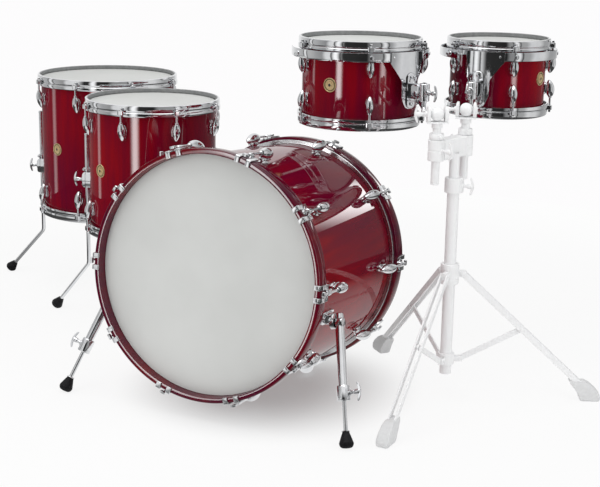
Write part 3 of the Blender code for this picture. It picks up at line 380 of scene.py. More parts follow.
class Reading:
    """A number that varies over a surface; sums with it add Math nodes to its node tree."""

    def __init__(self, board, socket):
        self.board = board
        self.socket = socket

    def worked(self, operation, first, second, clamp=False):
        settings = {"operation": operation, "use_clamp": clamp}
        made = self.board.node("ShaderNodeMath", settings, {0: first, 1: second})
        return Reading(self.board, made.outputs[0])

    def __add__(self, other):
        return self.worked("ADD", self, other)

    def __rsub__(self, other):
        return self.worked("SUBTRACT", other, self)

    def __mul__(self, other):
        return self.worked("MULTIPLY", self, other)

    def or_higher(self, other):
        return self.worked("MAXIMUM", self, other)

    def clamped(self):
        return self.worked("ADD", self, 0.0, clamp=True)


class Board:
    """A node tree, with short ways to add nodes and feed them."""

    def __init__(self, tree, output):
        self.nodes = tree.nodes
        self.links = tree.links
        self.output = tree.nodes[output].inputs["Surface"]

    def node(self, kind, settings=None, inputs=None):
        made = self.nodes.new(kind)
        for key, value in (settings or {}).items():
            setattr(made, key, value)
        for key, value in (inputs or {}).items():
            self.feed(made.inputs[key], value)
        return made

    def feed(self, socket, value):
        if isinstance(value, Reading):
            value = value.socket
        if isinstance(value, bpy.types.NodeSocket):
            self.links.new(value, socket)
        else:
            socket.default_value = value

    def ramp(self, reading, *stops):
        """Colours along a reading: each stop is its level and its colour."""
        made = self.node("ShaderNodeValToRGB", None, {"Fac": reading})
        elements = made.color_ramp.elements
        while len(elements) < len(stops):
            elements.new(0.5)
        for element, (level, colour) in zip(elements, stops):
            element.position = level
            element.color = opaque(*colour)
        return made.outputs["Color"]

    def blend(self, amount, first, second):
        made = self.node("ShaderNodeMix", {"data_type": "RGBA"}, {"Factor": amount, 6: first, 7: second})
        return made.outputs[2]

    def show_mix(self, amount, first, second):
        """Shows the first shader where the amount is nothing and the second where it is one."""
        mix = self.node("ShaderNodeMixShader", None, {0: amount, 1: first.outputs[0], 2: second.outputs[0]})
        self.feed(self.output, mix.outputs[0])


class Finish(Board):
    """A material with one Principled surface."""

    def __init__(self, name, colour, roughness, metallic=0.0, coat=0.0, specular=0.5):
        self.material = bpy.data.materials.new(name)
        self.material.use_nodes = True
        super().__init__(self.material.node_tree, "Material Output")
        self.surface = self.nodes["Principled BSDF"]
        self.place = self.node("ShaderNodeTexCoord").outputs["Object"]
        self.set({"Base Color": opaque(*colour), "Roughness": roughness, "Metallic": metallic,
            "Coat Weight": coat, "Coat Roughness": 0.0, "Specular IOR Level": specular})

    def set(self, inputs):
        for key, value in inputs.items():
            self.feed(self.surface.inputs[key], value)

    def stretched(self, scale):
        """Places on the piece, scaled along its axes."""
        inputs = {"Vector": self.place, "Scale": scale}
        return self.node("ShaderNodeMapping", None, inputs).outputs["Vector"]

    def noise(self, place, scale, detail=3.0, roughness=0.5):
        inputs = {"Vector": place, "Scale": scale, "Detail": detail, "Roughness": roughness}
        return Reading(self, self.node("ShaderNodeTexNoise", None, inputs).outputs["Fac"])

    def bump(self, height, strength, distance):
        inputs = {"Height": height, "Strength": strength, "Distance": distance}
        self.set({"Normal": self.node("ShaderNodeBump", None, inputs).outputs["Normal"]})


def opaque(*rgb):
    return (*rgb, 1.0)


def make_lacquer(name, along, strength=1.0):
    """Clear cherry lacquer over maple: long soft grain along one axis under a glassy coat."""
    made = Finish(name, (0.16, 0.0022, 0.011), 0.07, coat=1.0, specular=0.0)
    stretch = [14.0, 14.0, 14.0]
    stretch[along] = 1.2
    grain = made.noise(made.stretched(stretch), 3.0)
    clouds = made.noise(made.place, 2.6, 1.0)
    tone = (grain * 0.35 + clouds * 0.65).clamped()
    made.set({"Base Color": made.ramp(tone, (0.38, (0.120 * strength, 0.0018, 0.0170)),
        (0.50, (0.170 * strength, 0.0020, 0.0125)), (0.62, (0.245 * strength, 0.0022, 0.0070))),
        "Roughness": grain * 0.04 + 0.05})
    return made.material


def make_film():
    """Coated drum head: a sprayed matte white coat with a fine tooth."""
    made = Finish("sprayed white film", (0.62, 0.63, 0.61), 0.55, specular=0.3)
    tooth = made.noise(made.place, 900.0, 2.0)
    cloud = made.noise(made.place, 5.0)
    made.set({"Base Color": made.ramp(cloud * 0.8 + tooth * 0.2, (0.35, (0.60, 0.61, 0.595)),
        (0.65, (0.655, 0.665, 0.65))), "Roughness": tooth * 0.25 + 0.45})
    made.bump(tooth, 0.25, 0.0003)
    return made.material


def make_mottled(name, colour, roughness, mottle, tones=None, rough=None, bump=None, stretch=None, **kind):
    """A material whose mottle, a noise of (scale, detail), gives it two tones, a roughness as
    (share, base) and a bump as (strength, distance)."""
    made = Finish(name, colour, roughness, **kind)
    mottle = made.noise(made.stretched(stretch) if stretch else made.place, *mottle)
    if tones:
        made.set({"Base Color": made.ramp(mottle, *tones)})
    if rough:
        share, base = rough
        made.set({"Roughness": mottle * share + base})
    if bump:
        made.bump(mottle, *bump)
    return made.material


LACQUER = make_lacquer("cherry lacquer with upright grain", 2)
BASS_LACQUER = make_lacquer("cherry lacquer with grain along the bass drum", 1)
# The wood hoops get the same cherry lacquer, darkened to 0.55 of its red as painted shade.
SHADED_HOOP_LACQUER = make_lacquer("darker cherry lacquer of the wood hoops", 1, 0.55)
CHROME = make_mottled("polished chrome", (0.80, 0.81, 0.82), 0.06, (22.0, 3.0), ((0.35, (0.74, 0.75, 0.77)),
    (0.65, (0.84, 0.85, 0.86))), (0.07, 0.025), metallic=1.0)
FILM = make_film()
RUBBER = make_mottled("black moulded rubber", (0.006, 0.006, 0.007), 0.50, (160.0, 4.0),
    ((0.3, (0.004, 0.004, 0.005)), (0.7, (0.011, 0.011, 0.012))), (0.3, 0.40), (0.35, 0.0004), specular=0.2)
PALE = make_mottled("pale satin plate", (0.92, 0.925, 0.93), 0.35, (4.0, 3.0), ((0.3, (0.90, 0.905, 0.91)),
    (0.7, (0.945, 0.95, 0.955))), (0.2, 0.26), stretch=(90.0, 90.0, 6.0))
PALE_RUBBER = make_mottled("pale grey rubber", (0.72, 0.725, 0.73), 0.6, (150.0, 4.0),
    ((0.3, (0.69, 0.695, 0.70)), (0.7, (0.75, 0.755, 0.76))), bump=(0.3, 0.0004), specular=0.3)
BRASS = make_mottled("gilded badge brass", (0.60, 0.42, 0.18), 0.32, (350.0, 3.0),
    ((0.3, (0.50, 0.36, 0.16)), (0.7, (0.84, 0.66, 0.38))), (0.3, 0.2), metallic=0.55)
BADGE_FIELD = make_mottled("badge's dull green-gold field", (0.16, 0.15, 0.05), 0.45, (700.0, 2.0),
    ((0.35, (0.035, 0.045, 0.015)), (0.65, (0.11, 0.11, 0.035))), bump=(0.5, 0.0003), metallic=0.5)
ALLOY = make_mottled("rolled alloy", (0.62, 0.63, 0.64), 0.24, (5.0, 4.0), ((0.3, (0.55, 0.56, 0.57)),
    (0.7, (0.72, 0.73, 0.74))), (0.2, 0.14), stretch=(60.0, 60.0, 60.0), metallic=1.0)
# Unpolished inner metal, partly real and partly painted shade: darker than the polished outside, it stands
# in for the shade inside the hoop.
DULL_CASTING_AND_PAINTED_SHADE = make_mottled("unpolished casting", (0.36, 0.365, 0.37), 0.40, (90.0, 3.0),
    ((0.3, (0.31, 0.315, 0.32)), (0.7, (0.41, 0.415, 0.42))), (0.2, 0.28), metallic=1.0)
# Black nylon for washers, grommets, the clamp seam and the spur's gear face; it also serves as painted
# shade in the vent hole and round the tom bracket plate.
NYLON_AND_PAINTED_SHADE = make_mottled("black nylon", (0.015, 0.015, 0.016), 0.35, (80.0, 2.0), rough=(0.3, 0.25))
MAPLE = make_mottled("bare maple ply", (0.62, 0.42, 0.24), 0.6, (4.0, 5.0, 0.6),
    ((0.35, (0.52, 0.33, 0.17)), (0.65, (0.70, 0.50, 0.30))), bump=(0.15, 0.0003), stretch=(3.0, 3.0, 60.0),
    specular=0.3)


def lofted(name, sections, soft=0.0, angle=35.0, at=None, finish=None):
    """A bar of changing width: rectangles (height, from x, to x, half width) drawn up along Z."""
    clear_hands()
    height, low, high, half = sections[0]
    bpy.ops.mesh.primitive_plane_add(size=1.0, location=((low + high) / 2, 0.0, height))
    piece = bpy.context.object
    piece.name = name
    piece.scale = (high - low, 2 * half, 1.0)
    settle(piece)
    edit(piece)
    for next_height, next_low, next_high, next_half in sections[1:]:
        way = ((next_low + next_high - low - high) / 2, 0.0, next_height - height)
        size = ((next_high - next_low) / (high - low), next_half / half, 1.0)
        middle = ((next_low + next_high) / 2, 0.0, next_height)
        extend(way, size, middle, bpy.ops.mesh.extrude_region_move)
        height, low, high, half = next_height, next_low, next_high, next_half
    close_up(piece, angle)
    if soft:
        softened(piece, soft, 2, angle)
    return set_down(piece, at, finish)


def painted(piece, material, wanted):
    """Gives the faces for which wanted(centre, normal) holds their own finish."""
    piece.data.materials.append(material)
    index = len(piece.data.materials) - 1
    for face in piece.data.polygons:
        if wanted(face.center, face.normal):
            face.material_index = index
    return piece


def faces_inwards(centre, normal):
    return normal.xy.dot(centre.xy) < 0


def wing_screw(finish=CHROME):
    """A winged screw along X: collar, stem and a crescent wing that stands upright."""
    half = 0.021
    stem = turned("wing stem", mm([(6.8, -1.8), (7.2, 1), (6.6, 3.4), (4.2, 4.2), (4, 11), (5.2, 13.4),
        (6, 16), (5.8, 24), (4, 26.2)]), 28, at=ON_X)
    crescent = []
    for i in range(13):
        t = -1 + i / 6
        outer = 0.0293 - 0.0066 * t ** 2
        deep = 0.0062 - 0.0016 * t ** 2 - 0.0018 * t ** 12
        crescent.append((t * half, outer - deep, outer, 0.0023 - 0.0008 * t ** 4))
    wing = lofted("wing blade", crescent, 0.0007, 50.0)
    return gathered("wing screw", [stem, wing], finish)


def square_head():
    """The square head of a tension rod on its washer, standing up from the origin."""
    head = lofted("rod head", mm([(1.4, -3.1, 3.1, 3.1), (3, -3.15, 3.15, 3.15), (7, -3, 3, 3),
        (7.8, -2.4, 2.4, 2.4)]), 0.0004)
    flange = turned("rod flange", mm([(5, 0.7), (5.2, 1.2), (4.8, 1.9), (3, 2.3)]), 24)
    washer = turned("rod washer", mm([(5.8, 0), (6.1, 0.3), (5.8, 0.7), (4, 0.8)]), 24)
    return [head, flange, finish_with(washer, NYLON_AND_PAINTED_SHADE)]


def tension_rod(low):
    """A tension rod in an ear, with the origin on the ear's top: head above, shaft to its lug."""
    shaft = turned("rod shaft", [(0.0029, low), (0.0029, -0.0060), (0.0031, 0.0)], 20)
    nut = turned("swivel nut", mm([(4.6, -1), (5, 0.4), (4.8, 3.4), (3.6, 4.4)], 0.0, low), 24)
    return gathered("tension rod", square_head() + [shaft, nut], CHROME)


def hoop_ear():
    """A cast hoop's rounded ear, its top at the origin's height and X pointing outwards."""
    ear = lofted("hoop ear", mm([(-11, 8.8, 20, 9.3), (0, 8.8, 20, 9.3)]))
    pick_points(ear, lambda place: place.x > 0.0199)
    out = 0.0200
    for reach, share in ((0.0215, 0.90), (0.0226, 0.80), (0.0231, 0.62)):
        extend((reach - out, 0.0, 0.0), (1.0, share, 1.0), (reach, 0.0, 0.0),
            bpy.ops.mesh.extrude_region_move)
        out = reach
    return softened(close_up(ear), 0.0012, 3)


def cast_hoop(drum):
    """A die-cast hoop in the drum's frame: lip over the head, groove round its outside, ears, rods."""
    reach, edge = drum.radius, drum.depth / 2
    rim = edge + HOOP_OVERHANG
    section = mm([(3, -0.4), (5.2, 0), (8, -0.2), (9.8, -1.2), (10.8, -3.4), (11.1, -10), (11.2, -16),
        (10.8, -16.8), (9.8, -17.3), (9.8, -18.7), (11.2, -19.4), (12.1, -20.6), (12.4, -23), (12.5, -28.5),
        (12, -30.3), (10.8, -31), (8, -31), (7.3, -30.5), (7.3, -24.3), (6, -18), (2.1, -11.2),
        (2.1, -1.2)])
    ring = turned("cast hoop", [(reach + out, rim + down) for out, down in section], 120, ring=True,
        finish=CHROME)
    # The inward faces get the duller, darker metal: partly unpolished casting, partly painted shade.
    painted(ring, DULL_CASTING_AND_PAINTED_SHADE, faces_inwards)
    ear_high = rim - 0.0135
    ears = copies(finish_with(hoop_ear(), CHROME), around(drum.lugs, drum.first_lug, reach, ear_high))
    low = drum.lug_high - ear_high
    rods = copies(tension_rod(low), around(drum.lugs, drum.first_lug, reach + ROD_OUT, ear_high))
    return gathered("cast hoop with rods", [ring] + ears + rods)


def drop_lug(length, width, deep, lean):
    """A drop-shaped lug with its pad on the shell; its top is at the origin and X points outwards."""
    tall, wide = length / 0.051, width / 0.0115
    body = turned("lug drop", [(r * wide, z * tall) for r, z in mm([(4.6, 0), (6.2, -0.6), (7.2, -3),
        (8.8, -6.8), (10.2, -11.8), (11.1, -17), (11.4, -22), (11.1, -27.2), (10.1, -32.6), (8.6, -37.6),
        (6.6, -42.4), (4.4, -46.6), (2.2, -49.2), (0.8, -49.9)])], 36)
    body.data.transform(Matrix.Diagonal((deep, 1.0, 1.0, 1.0)))
    placed(body, moved(0.0170) @ rotated(radians(lean), "Y"))
    pad = turned("lug pad", [(r * wide, z) for r, z in mm([(9.4, -0.6), (9.4, 2.2), (8.6, 3.1), (6, 3.6)])],
        32)
    pad.data.transform(Matrix.Diagonal((2.05 * tall / wide, 1.0, 1.0, 1.0)))
    placed(pad, moved(z=-0.0240 * tall) @ ON_X)
    neck = lofted("lug neck", [(z * tall, *rest) for z, *rest in mm([(-37, 1, 6.5, 3), (-30, 1, 10, 4.6),
        (-17, 1, 12, 5.2), (-8, 1, 13, 4.4)])], 0.0010)
    return gathered("drop lug", [body, pad, neck], CHROME)


def shell_with_lugs(drum):
    """The drum's shell with bearing edges, its lugs in two rows, and its badge."""
    reach, edge = drum.radius, drum.depth / 2
    shell = turned("shell", two_way(mm([(0, -2.2), (-1, -0.8), (-3, 0), (-7.8, -4.6)], reach, edge), 1),
        128, ring=True, angle=25.0, finish=LACQUER)
    painted(shell, MAPLE, faces_inwards)
    turns = two_rows(drum.lugs, drum.first_lug, reach, drum.lug_high)
    pieces = [shell] + copies(drop_lug(*drum.lug), turns)
    place = rotated(drum.badge) @ moved(reach) @ ON_X
    pieces.append(placed(vent_badge(), place))
    return gathered(drum.name + " shell, lugs and badge", pieces)


def vent_badge():
    """A round brass badge held by the air vent: rolled rim, dull field, plain rings, and a black disc of
    painted shade in the hole.
    """
    plate = turned("badge plate", mm([(17.2, -1.6), (18.2, -0.4), (18.4, 0.8), (17.8, 1.7), (16.8, 1.8),
        (16, 1.1), (15, 1), (13.4, 1), (8.6, 1), (6.2, 1)]), 64, finish=BRASS)
    for near, far in ((0.0132, 0.0156), (0.0062, 0.0088)):
        painted(plate, BADGE_FIELD, lambda centre, normal: normal.z > 0.5 and near < centre.xy.length < far)
    bead = turned("badge ring", mm([(11.8, 0.9), (12.2, 1.4), (11.6, 1.7), (11, 1.4)]), 56)
    eyelet = turned("vent eyelet", mm([(5.8, 0.8), (6.2, 1.8), (5.4, 2.6), (4.2, 2.7)]), 40)
    # A black disc in the vent: painted shade of the open hole into the drum.
    hole = turned("vent hole", mm([(3.7, 2), (3.7, 2.8)]), 32)
    return gathered("badge", [plate, bead, eyelet, finish_with(hole, NYLON_AND_PAINTED_SHADE)], BRASS)


def drum_head(drum):
    """A coated head on the drum's upper edge: flat film, rounded collar, metal flesh hoop."""
    reach, edge = drum.radius, drum.depth / 2
    film = turned("head film", mm([(0.4, -10.4), (1.4, -8), (1.6, -2), (1.2, -0.4), (0.2, 0.8), (-2, 1.3),
        (-30, 1.3)], reach, edge), 128)
    flesh = turned("flesh hoop", mm([(0.6, -11.2), (6, -11.2), (6.6, -10.4), (6.4, -6), (4.6, -4.8),
        (1.2, -5)], reach, edge), 120, ring=True)
    return gathered("drum head", [finish_with(film, FILM), finish_with(flesh, ALLOY)])


def build_upright_drum(drum):
    """Shell, both heads and both cast hoops of an upright drum."""
    shell = placed(shell_with_lugs(drum), drum.frame)
    on_body(shell, drum.body, drum.name + "_shell")
    for side in ("top", "bottom"):
        for build, slot, part in ((drum_head, "coated_head", "head"), (cast_hoop, "chrome", "hoop")):
            piece = build(drum)
            if side == "bottom":
                piece.data.transform(Matrix.Diagonal((1.0, 1.0, -1.0, 1.0)))
                piece.data.flip_normals()
            piece.name = "%s %s %s" % (drum.name, side, part)
            placed(piece, drum.frame)
            on_body(piece, drum.body)


def bass_claw():
    """A claw in the bass drum's end frame, X outwards: two hooks over the hoop, arms that run
    together to the boss, and the T end of the tension rod between the hooks."""
    out, end = BASS_HOOP_OUT, BASS_HOOP_END
    start = end - BASS_HOOP_WIDTH
    pieces = []
    for side in (-1, 1):
        y = 0.0143 * side
        hook = lofted("hook arm", mm([(0.5, 0.2, 4.4, 5), (15, 0.2, 4, 5.6), (39.8, 0.2, 3.7, 5.6),
            (42, -1, 3, 5.6), (42.7, -2.2, 1.2, 5.4)], start, out, out), at=moved(y=y))
        lip = lofted("hook lip", mm([(0.1, -13.8, 1.8, 6), (3, -13.6, 2.6, 6), (3.7, -12.4, 1.4, 5.5)], end,
            out, out), at=moved(y=y))
        reach = lofted("claw arm", mm([(0, -0.8, 4.6, 4.6), (7.5, -0.2, 5, 5), (16.5, 0.4, 4.6, 5.2)], 0.0,
            out, out), at=moved(z=start + 0.0020) @ rotated(-side * radians(43.0), "X")
            @ moved(y=side * 0.0010))
        pieces += [hook, lip, reach]
    for piece in pieces:
        softened(piece, 0.0010)
    rod_at = BASS_RADIUS + BASS_ROD_OUT
    boss = turned("claw boss", mm([(5.2, -1.2), (6.6, 0.2), (7, 7), (6.4, 15), (4.6, 16.4)], 0.0, start),
        32, at=moved(rod_at - 0.0030))
    pieces.append(boss)
    shaft = turned("claw rod", [(0.0029, BASS_LUG_HIGH), (0.0029, end - 0.0070)], 20)
    nut = turned("claw rod nut", mm([(4.8, -1), (5.2, 0.4), (5, 4), (3.6, 5.2)], 0.0, BASS_LUG_HIGH), 24)
    handle = lofted("rod handle", mm([(-7.4, -2.4, 2.4, 2.6), (-6, -3, 3, 3.4), (0, -3.2, 3.2, 3.5),
        (6, -3, 3, 3.4), (7.4, -2.4, 2.4, 2.6)]), 0.0008, at=moved(z=end - 0.0036) @ rotated(pi / 2, "X"))
    for piece in (shaft, nut, handle):
        placed(piece, moved(rod_at))
    pieces += [shaft, nut, handle]
    return gathered("bass claw", pieces, CHROME)


def build_bass_drum():
    """The bass drum: long shell with lugs, lacquered wood hoops, claws and heads."""
    lift = BASS_HOOP_END * sin(BASS_TILT) + BASS_HOOP_OUT * cos(BASS_TILT)
    frame = Matrix.Translation((*BASS_PLACE, lift)) @ rotated(pi / 2 - BASS_TILT, "X")
    half = BASS_DEPTH / 2
    shell = turned("bass shell", two_way(mm([(0, -2.2), (-3, 0), (-7.8, -4.6)], BASS_RADIUS, half), 1), 180,
        ring=True, angle=25.0, finish=BASS_LACQUER)
    painted(shell, MAPLE, faces_inwards)
    lug = drop_lug(*BASS_LUG)
    lug.data.transform(moved(BASS_ROD_OUT - 0.0170))
    foot = turned("lug stand", mm([(9, -0.6), (9.4, 2), (7.2, 5.2), (6, 11)]), 32)
    foot.data.transform(Matrix.Diagonal((2.1, 1.0, 1.0, 1.0)))
    placed(foot, moved(z=-0.0300) @ ON_X)
    lug = gathered("bass lug", [lug, foot], CHROME)
    turns = two_rows(BASS_LUGS, 0.0, BASS_RADIUS, BASS_LUG_HIGH)
    shell = gathered("bass shell with lugs", [shell] + copies(lug, turns))
    on_body(placed(shell, frame), "kit", "bass_shell")

    start = BASS_HOOP_END - BASS_HOOP_WIDTH
    for side, way in (("front", STILL), ("rear", FLIP)):
        # The hoop's lacquer is the shell's cherry lacquer darkened as painted shade.
        hoop = turned("bass hoop", mm([(0, 1), (1, 0), (9, 0), (10.8, 0.5), (12.1, 1.9), (12.8, 4.2),
            (12.8, 35.4), (12.1, 37.5), (11, 38.6), (9.4, 39), (1.8, 39), (0.5, 38.4), (0, 37)],
            BASS_HOOP_IN, start), 180, ring=True, finish=SHADED_HOOP_LACQUER)
        claws = copies(bass_claw(), around(BASS_LUGS, 0.0, 0.0))
        hoop = gathered("bass %s hoop with claws" % side, [hoop] + claws)
        on_body(placed(hoop, frame @ way), "kit", "bass_%s_hoop" % side)

        film = turned("bass film", mm([(0.4, -6), (2.2, -1), (4.1, 0), (4.2, 0.6), (3.4, 1.2), (-0.8, 1.3),
            (-60, 1.3)], BASS_RADIUS, half), 180)
        flesh = turned("bass flesh hoop", mm([(0.8, -10.8), (9, -10.8), (9.8, -9.8), (9.8, -1.6),
            (8.8, -0.4), (4, -0.4), (3.6, 11.5), (1.2, 11.5)], BASS_RADIUS, start), 160, ring=True)
        head = gathered("bass %s head" % side, [finish_with(film, FILM), finish_with(flesh, ALLOY)])
        on_body(placed(head, frame @ way), "kit")
    return frame


def leg_bracket():
    """A leg bracket in its own frame on the shell, X outwards: tapering casting, clamp block split
    by a seam, wing screw, and a small guide screw below."""
    plate = lofted("bracket casting", mm([(-20, 0.4, 3.2, 4.6), (-17, 0.4, 3.6, 8.8), (-10, 0.4, 5, 12.2),
        (0, 0.4, 5.8, 12.9), (26, 0.4, 5.6, 12.8), (40, 0.4, 5, 10.6), (53, 0.4, 4.4, 7.6),
        (64, 0.4, 3.8, 4.8), (71.5, 0.4, 3, 2.4)]), 0.0011)
    cap = lofted("clamp block", mm([(-18.8, 4, 39, 9.6), (-16, 4, 42, 11.2), (0, 4, 43.8, 11.9),
        (18, 4, 43.2, 11.6), (24, 4, 40.5, 10), (26.2, 4, 35, 8)]), 0.0016)
    edit(cap)
    bpy.ops.mesh.bisect(plane_co=(LEG_OUT, 0.0, 0.0), plane_no=(1.0, 0.0, 0.0))
    hold(cap)
    web = lofted("bracket web", mm([(20, 3, 22, 3.4), (33, 3, 17, 3), (48, 3, 10, 2.6), (60, 3, 5.6, 2.2)]),
        0.0008)
    seam = lofted("clamp seam", mm([(-17.8, 0.6, 1.4, 12.1), (0, 0.6, 1.4, 12.3), (23.5, 0.6, 1.4, 11.6)],
        0.0, LEG_OUT, LEG_OUT))
    sleeve = turned("leg sleeve", mm([(6.6, -19.6), (7.8, -19.2), (7.8, -15), (6.6, -14.8)]), 32, ring=True,
        at=moved(LEG_OUT))
    collar = turned("leg collar", mm([(6.6, 23.5), (8.2, 24), (8.4, 27.5), (6.6, 28.2)]), 32, ring=True,
        at=moved(LEG_OUT))
    screw = placed(wing_screw(), moved(0.0442, z=0.0030))
    knob = turned("guide screw", mm([(4.6, 0), (5, 1.2), (4.8, 3.4), (3.6, 4.4)]), 24,
        at=moved(0.0425, z=-0.0120) @ ON_X)
    return gathered("leg bracket", [plate, cap, web, sleeve, collar, knob, screw, finish_with(seam, NYLON_AND_PAINTED_SHADE)],
        CHROME)


def rubber_foot(length, neck, reach=0.0165):
    """A cone-shaped rubber foot standing on the origin, widest near the floor."""
    cone = [(reach * out, length * up) for out, up in ((0.66, 0.020), (0.83, 0.075), (0.95, 0.165),
        (1.0, 0.270), (1.0, 0.330), (0.965, 0.350), (0.955, 0.385), (0.80, 0.585), (0.64, 0.785),
        (0.54, 0.895))]
    outline = [(FOOT_TIP, 0.0)] + cone + [(neck * 1.20, length * 0.965), (neck, length)]
    return finish_with(turned("rubber foot", outline, 40), RUBBER)


def build_floor_legs(drum, first_leg, bracket_height, foot_reach):
    """Three brackets on the drum's shell, and three bent legs that slide in them."""
    seat = drum.radius * cos(pi / 24)
    reach = foot_reach - seat - LEG_OUT
    bend = Vector((0.0, 0.0, LEG_BEND_HEIGHT))
    slope = (Vector((reach, 0.0, 0.0)) - bend).normalized()
    tip = Vector((reach, 0.0, 0.0)) - slope * FOOT_TIP * tan(acos(-slope.z))
    rod = bent_rod("leg rod", 0.0055, (0.0, 0.0, LEG_TOP), bend, tip - slope * 0.0300, 0.022)
    cap = turned("leg end cap", mm([(5.6, -6), (6.1, -5.5), (6.1, -1), (4.8, 0)], 0.0, LEG_TOP), 24)
    stop = turned("memory stop", mm([(5.6, 0), (9.6, 0.4), (10, 2), (10, 8.5), (9.4, 10.4), (5.6, 10.8)]),
        32, ring=True, at=moved(z=bracket_height + 0.0292))
    key = turned("memory screw", mm([(2.6, 9), (2.8, 12), (3.4, 12.4), (3.4, 15), (2.6, 15.6)]), 20,
        at=moved(z=bracket_height + 0.0345) @ rotated(radians(70)) @ ON_X)
    foot = placed(rubber_foot(0.034, 0.0066), frame_at(tip, SIDEWAYS, -slope))
    leg = gathered("floor leg", [rod, cap, stop, key, foot], CHROME)
    base = moved(drum.frame.translation.x, drum.frame.translation.y)
    turns = [base @ rotated(first_leg + 2 * pi * i / 3) for i in range(3)]
    legs = copies(leg, [turn @ moved(seat + LEG_OUT) for turn in turns])
    brackets = copies(leg_bracket(), [turn @ moved(seat, z=bracket_height) for turn in turns])
    for letter, leg, bracket in zip("abc", legs, brackets):
        leg.name = "%s leg %s" % (drum.name, letter)
        bracket.name = "%s leg bracket %s" % (drum.name, letter)
        on_body(leg, "%s_leg_%s" % (drum.name, letter))
        on_body(bracket, "kit")


def build_spurs(frame):
    """The bass drum's two spurs: bracket, pivoting tube with its clamp, and rod with rubber foot."""
    backward = (frame.to_3x3() @ Vector((0.0, 0.0, -1.0))).normalized()
    along = BASS_DEPTH / 2 - 0.079
    for side, name in ((1, "right"), (-1, "left")):
        angle = SPUR_AZIMUTH if side > 0 else pi - SPUR_AZIMUTH
        outward = (frame.to_3x3() @ polar(1.0, angle)).normalized()
        seat = BASS_RADIUS * cos(pi / 36)
        pivot = frame @ polar(seat + 0.036, angle, along)
        foot = Vector((BASS_PLACE[0] + side * SPUR_FOOT[0], BASS_PLACE[1] + SPUR_FOOT[1], 0.0))
        down = (foot - pivot).normalized()
        hinge = down.cross(backward).normalized()
        if hinge.dot(outward) < 0:
            hinge = -hinge
        length = (foot - pivot).length
        swing = frame_at(pivot, hinge, down)

        own = frame_at(frame @ polar(seat, angle, along), outward, backward)
        plate = lofted("spur plate", mm(two_way([(-31, 0.4, 3, 9), (-28, 0.4, 4.6, 14),
            (-18, 0.4, 5.6, 17)], 0)), 0.0010)
        hump = lofted("spur block", mm(two_way([(-19, 4, 9, 10.4), (-14, 4, 13.2, 12.4), (-5, 4, 14.8, 13)],
            0)), 0.0014)
        bolts = []
        for z in (-0.0240, 0.0240):
            bolt = turned("spur bolt", mm([(4.2, 4), (4.6, 5.2), (4.4, 7), (3, 8)]), 24)
            bolts.append(placed(bolt, moved(z=z) @ ON_X))
        boss = turned("spur boss", mm([(11, -12), (12.5, -10.5), (12.5, -1.2), (11.8, -0.2)]), 40)
        teeth = turned("spur gear face", mm([(11.7, -2.2), (11.7, 0), (9.8, 0.2)]), 48)
        at_boss = frame_at(pivot - hinge * 0.0108, down, hinge)
        pieces = [placed(piece, own) for piece in [plate, hump] + bolts]
        pieces += [placed(boss, at_boss), placed(finish_with(teeth, NYLON_AND_PAINTED_SHADE), at_boss)]
        bracket = gathered(name + " spur bracket", pieces, CHROME)
        on_body(bracket, "kit")

        low = length * 0.62
        high = low - 0.034
        tube = turned("spur tube", mm([(5.6, 0), (15, -0.4), (15.5, -1.4), (15.5, -6), (14.8, -6.6),
            (14.8, -7.8), (15.5, -8.4)], 0.0, low) + mm([(15.5, 3), (14.2, 0.6), (10.8, 0), (10.5, -1)],
            0.0, high) + mm([(10.5, -13), (9.8, -19.6), (7.8, -21.6), (5.6, -21.8)]), 48, ring=True)
        head = turned("pivot head", mm([(11.8, -6), (12.6, -4.5), (12.6, 8), (11.2, 10), (6, 10.8)]), 40,
            at=frame_at(NOWHERE, UPWARDS, SIDEWAYS))
        screw = placed(wing_screw(), moved(0.0142, z=(low + high) / 2))
        tube = gathered(name + " spur tube", [tube, head, screw], CHROME)
        on_body(placed(tube, swing), name + "_spur")

        tilt = acos(-down.z)
        foot_low = length - FOOT_TIP * tan(tilt)
        shaft = turned("spur rod", [(0.0050, 0.066), (0.0050, foot_low - 0.030)], 28)
        washer = turned("spur washer", mm([(8.8, -38.2), (9.4, -37.6), (9, -36.2), (6, -36)], 0.0,
            foot_low), 32)
        rubber = placed(rubber_foot(0.036, 0.0070),
            frame_at((0.0, 0.0, foot_low), SIDEWAYS, (0.0, 0.0, -1.0)))
        rod = gathered(name + " spur rod", [shaft, washer, rubber], CHROME)
        on_body(placed(rod, swing), name + "_spur_foot")


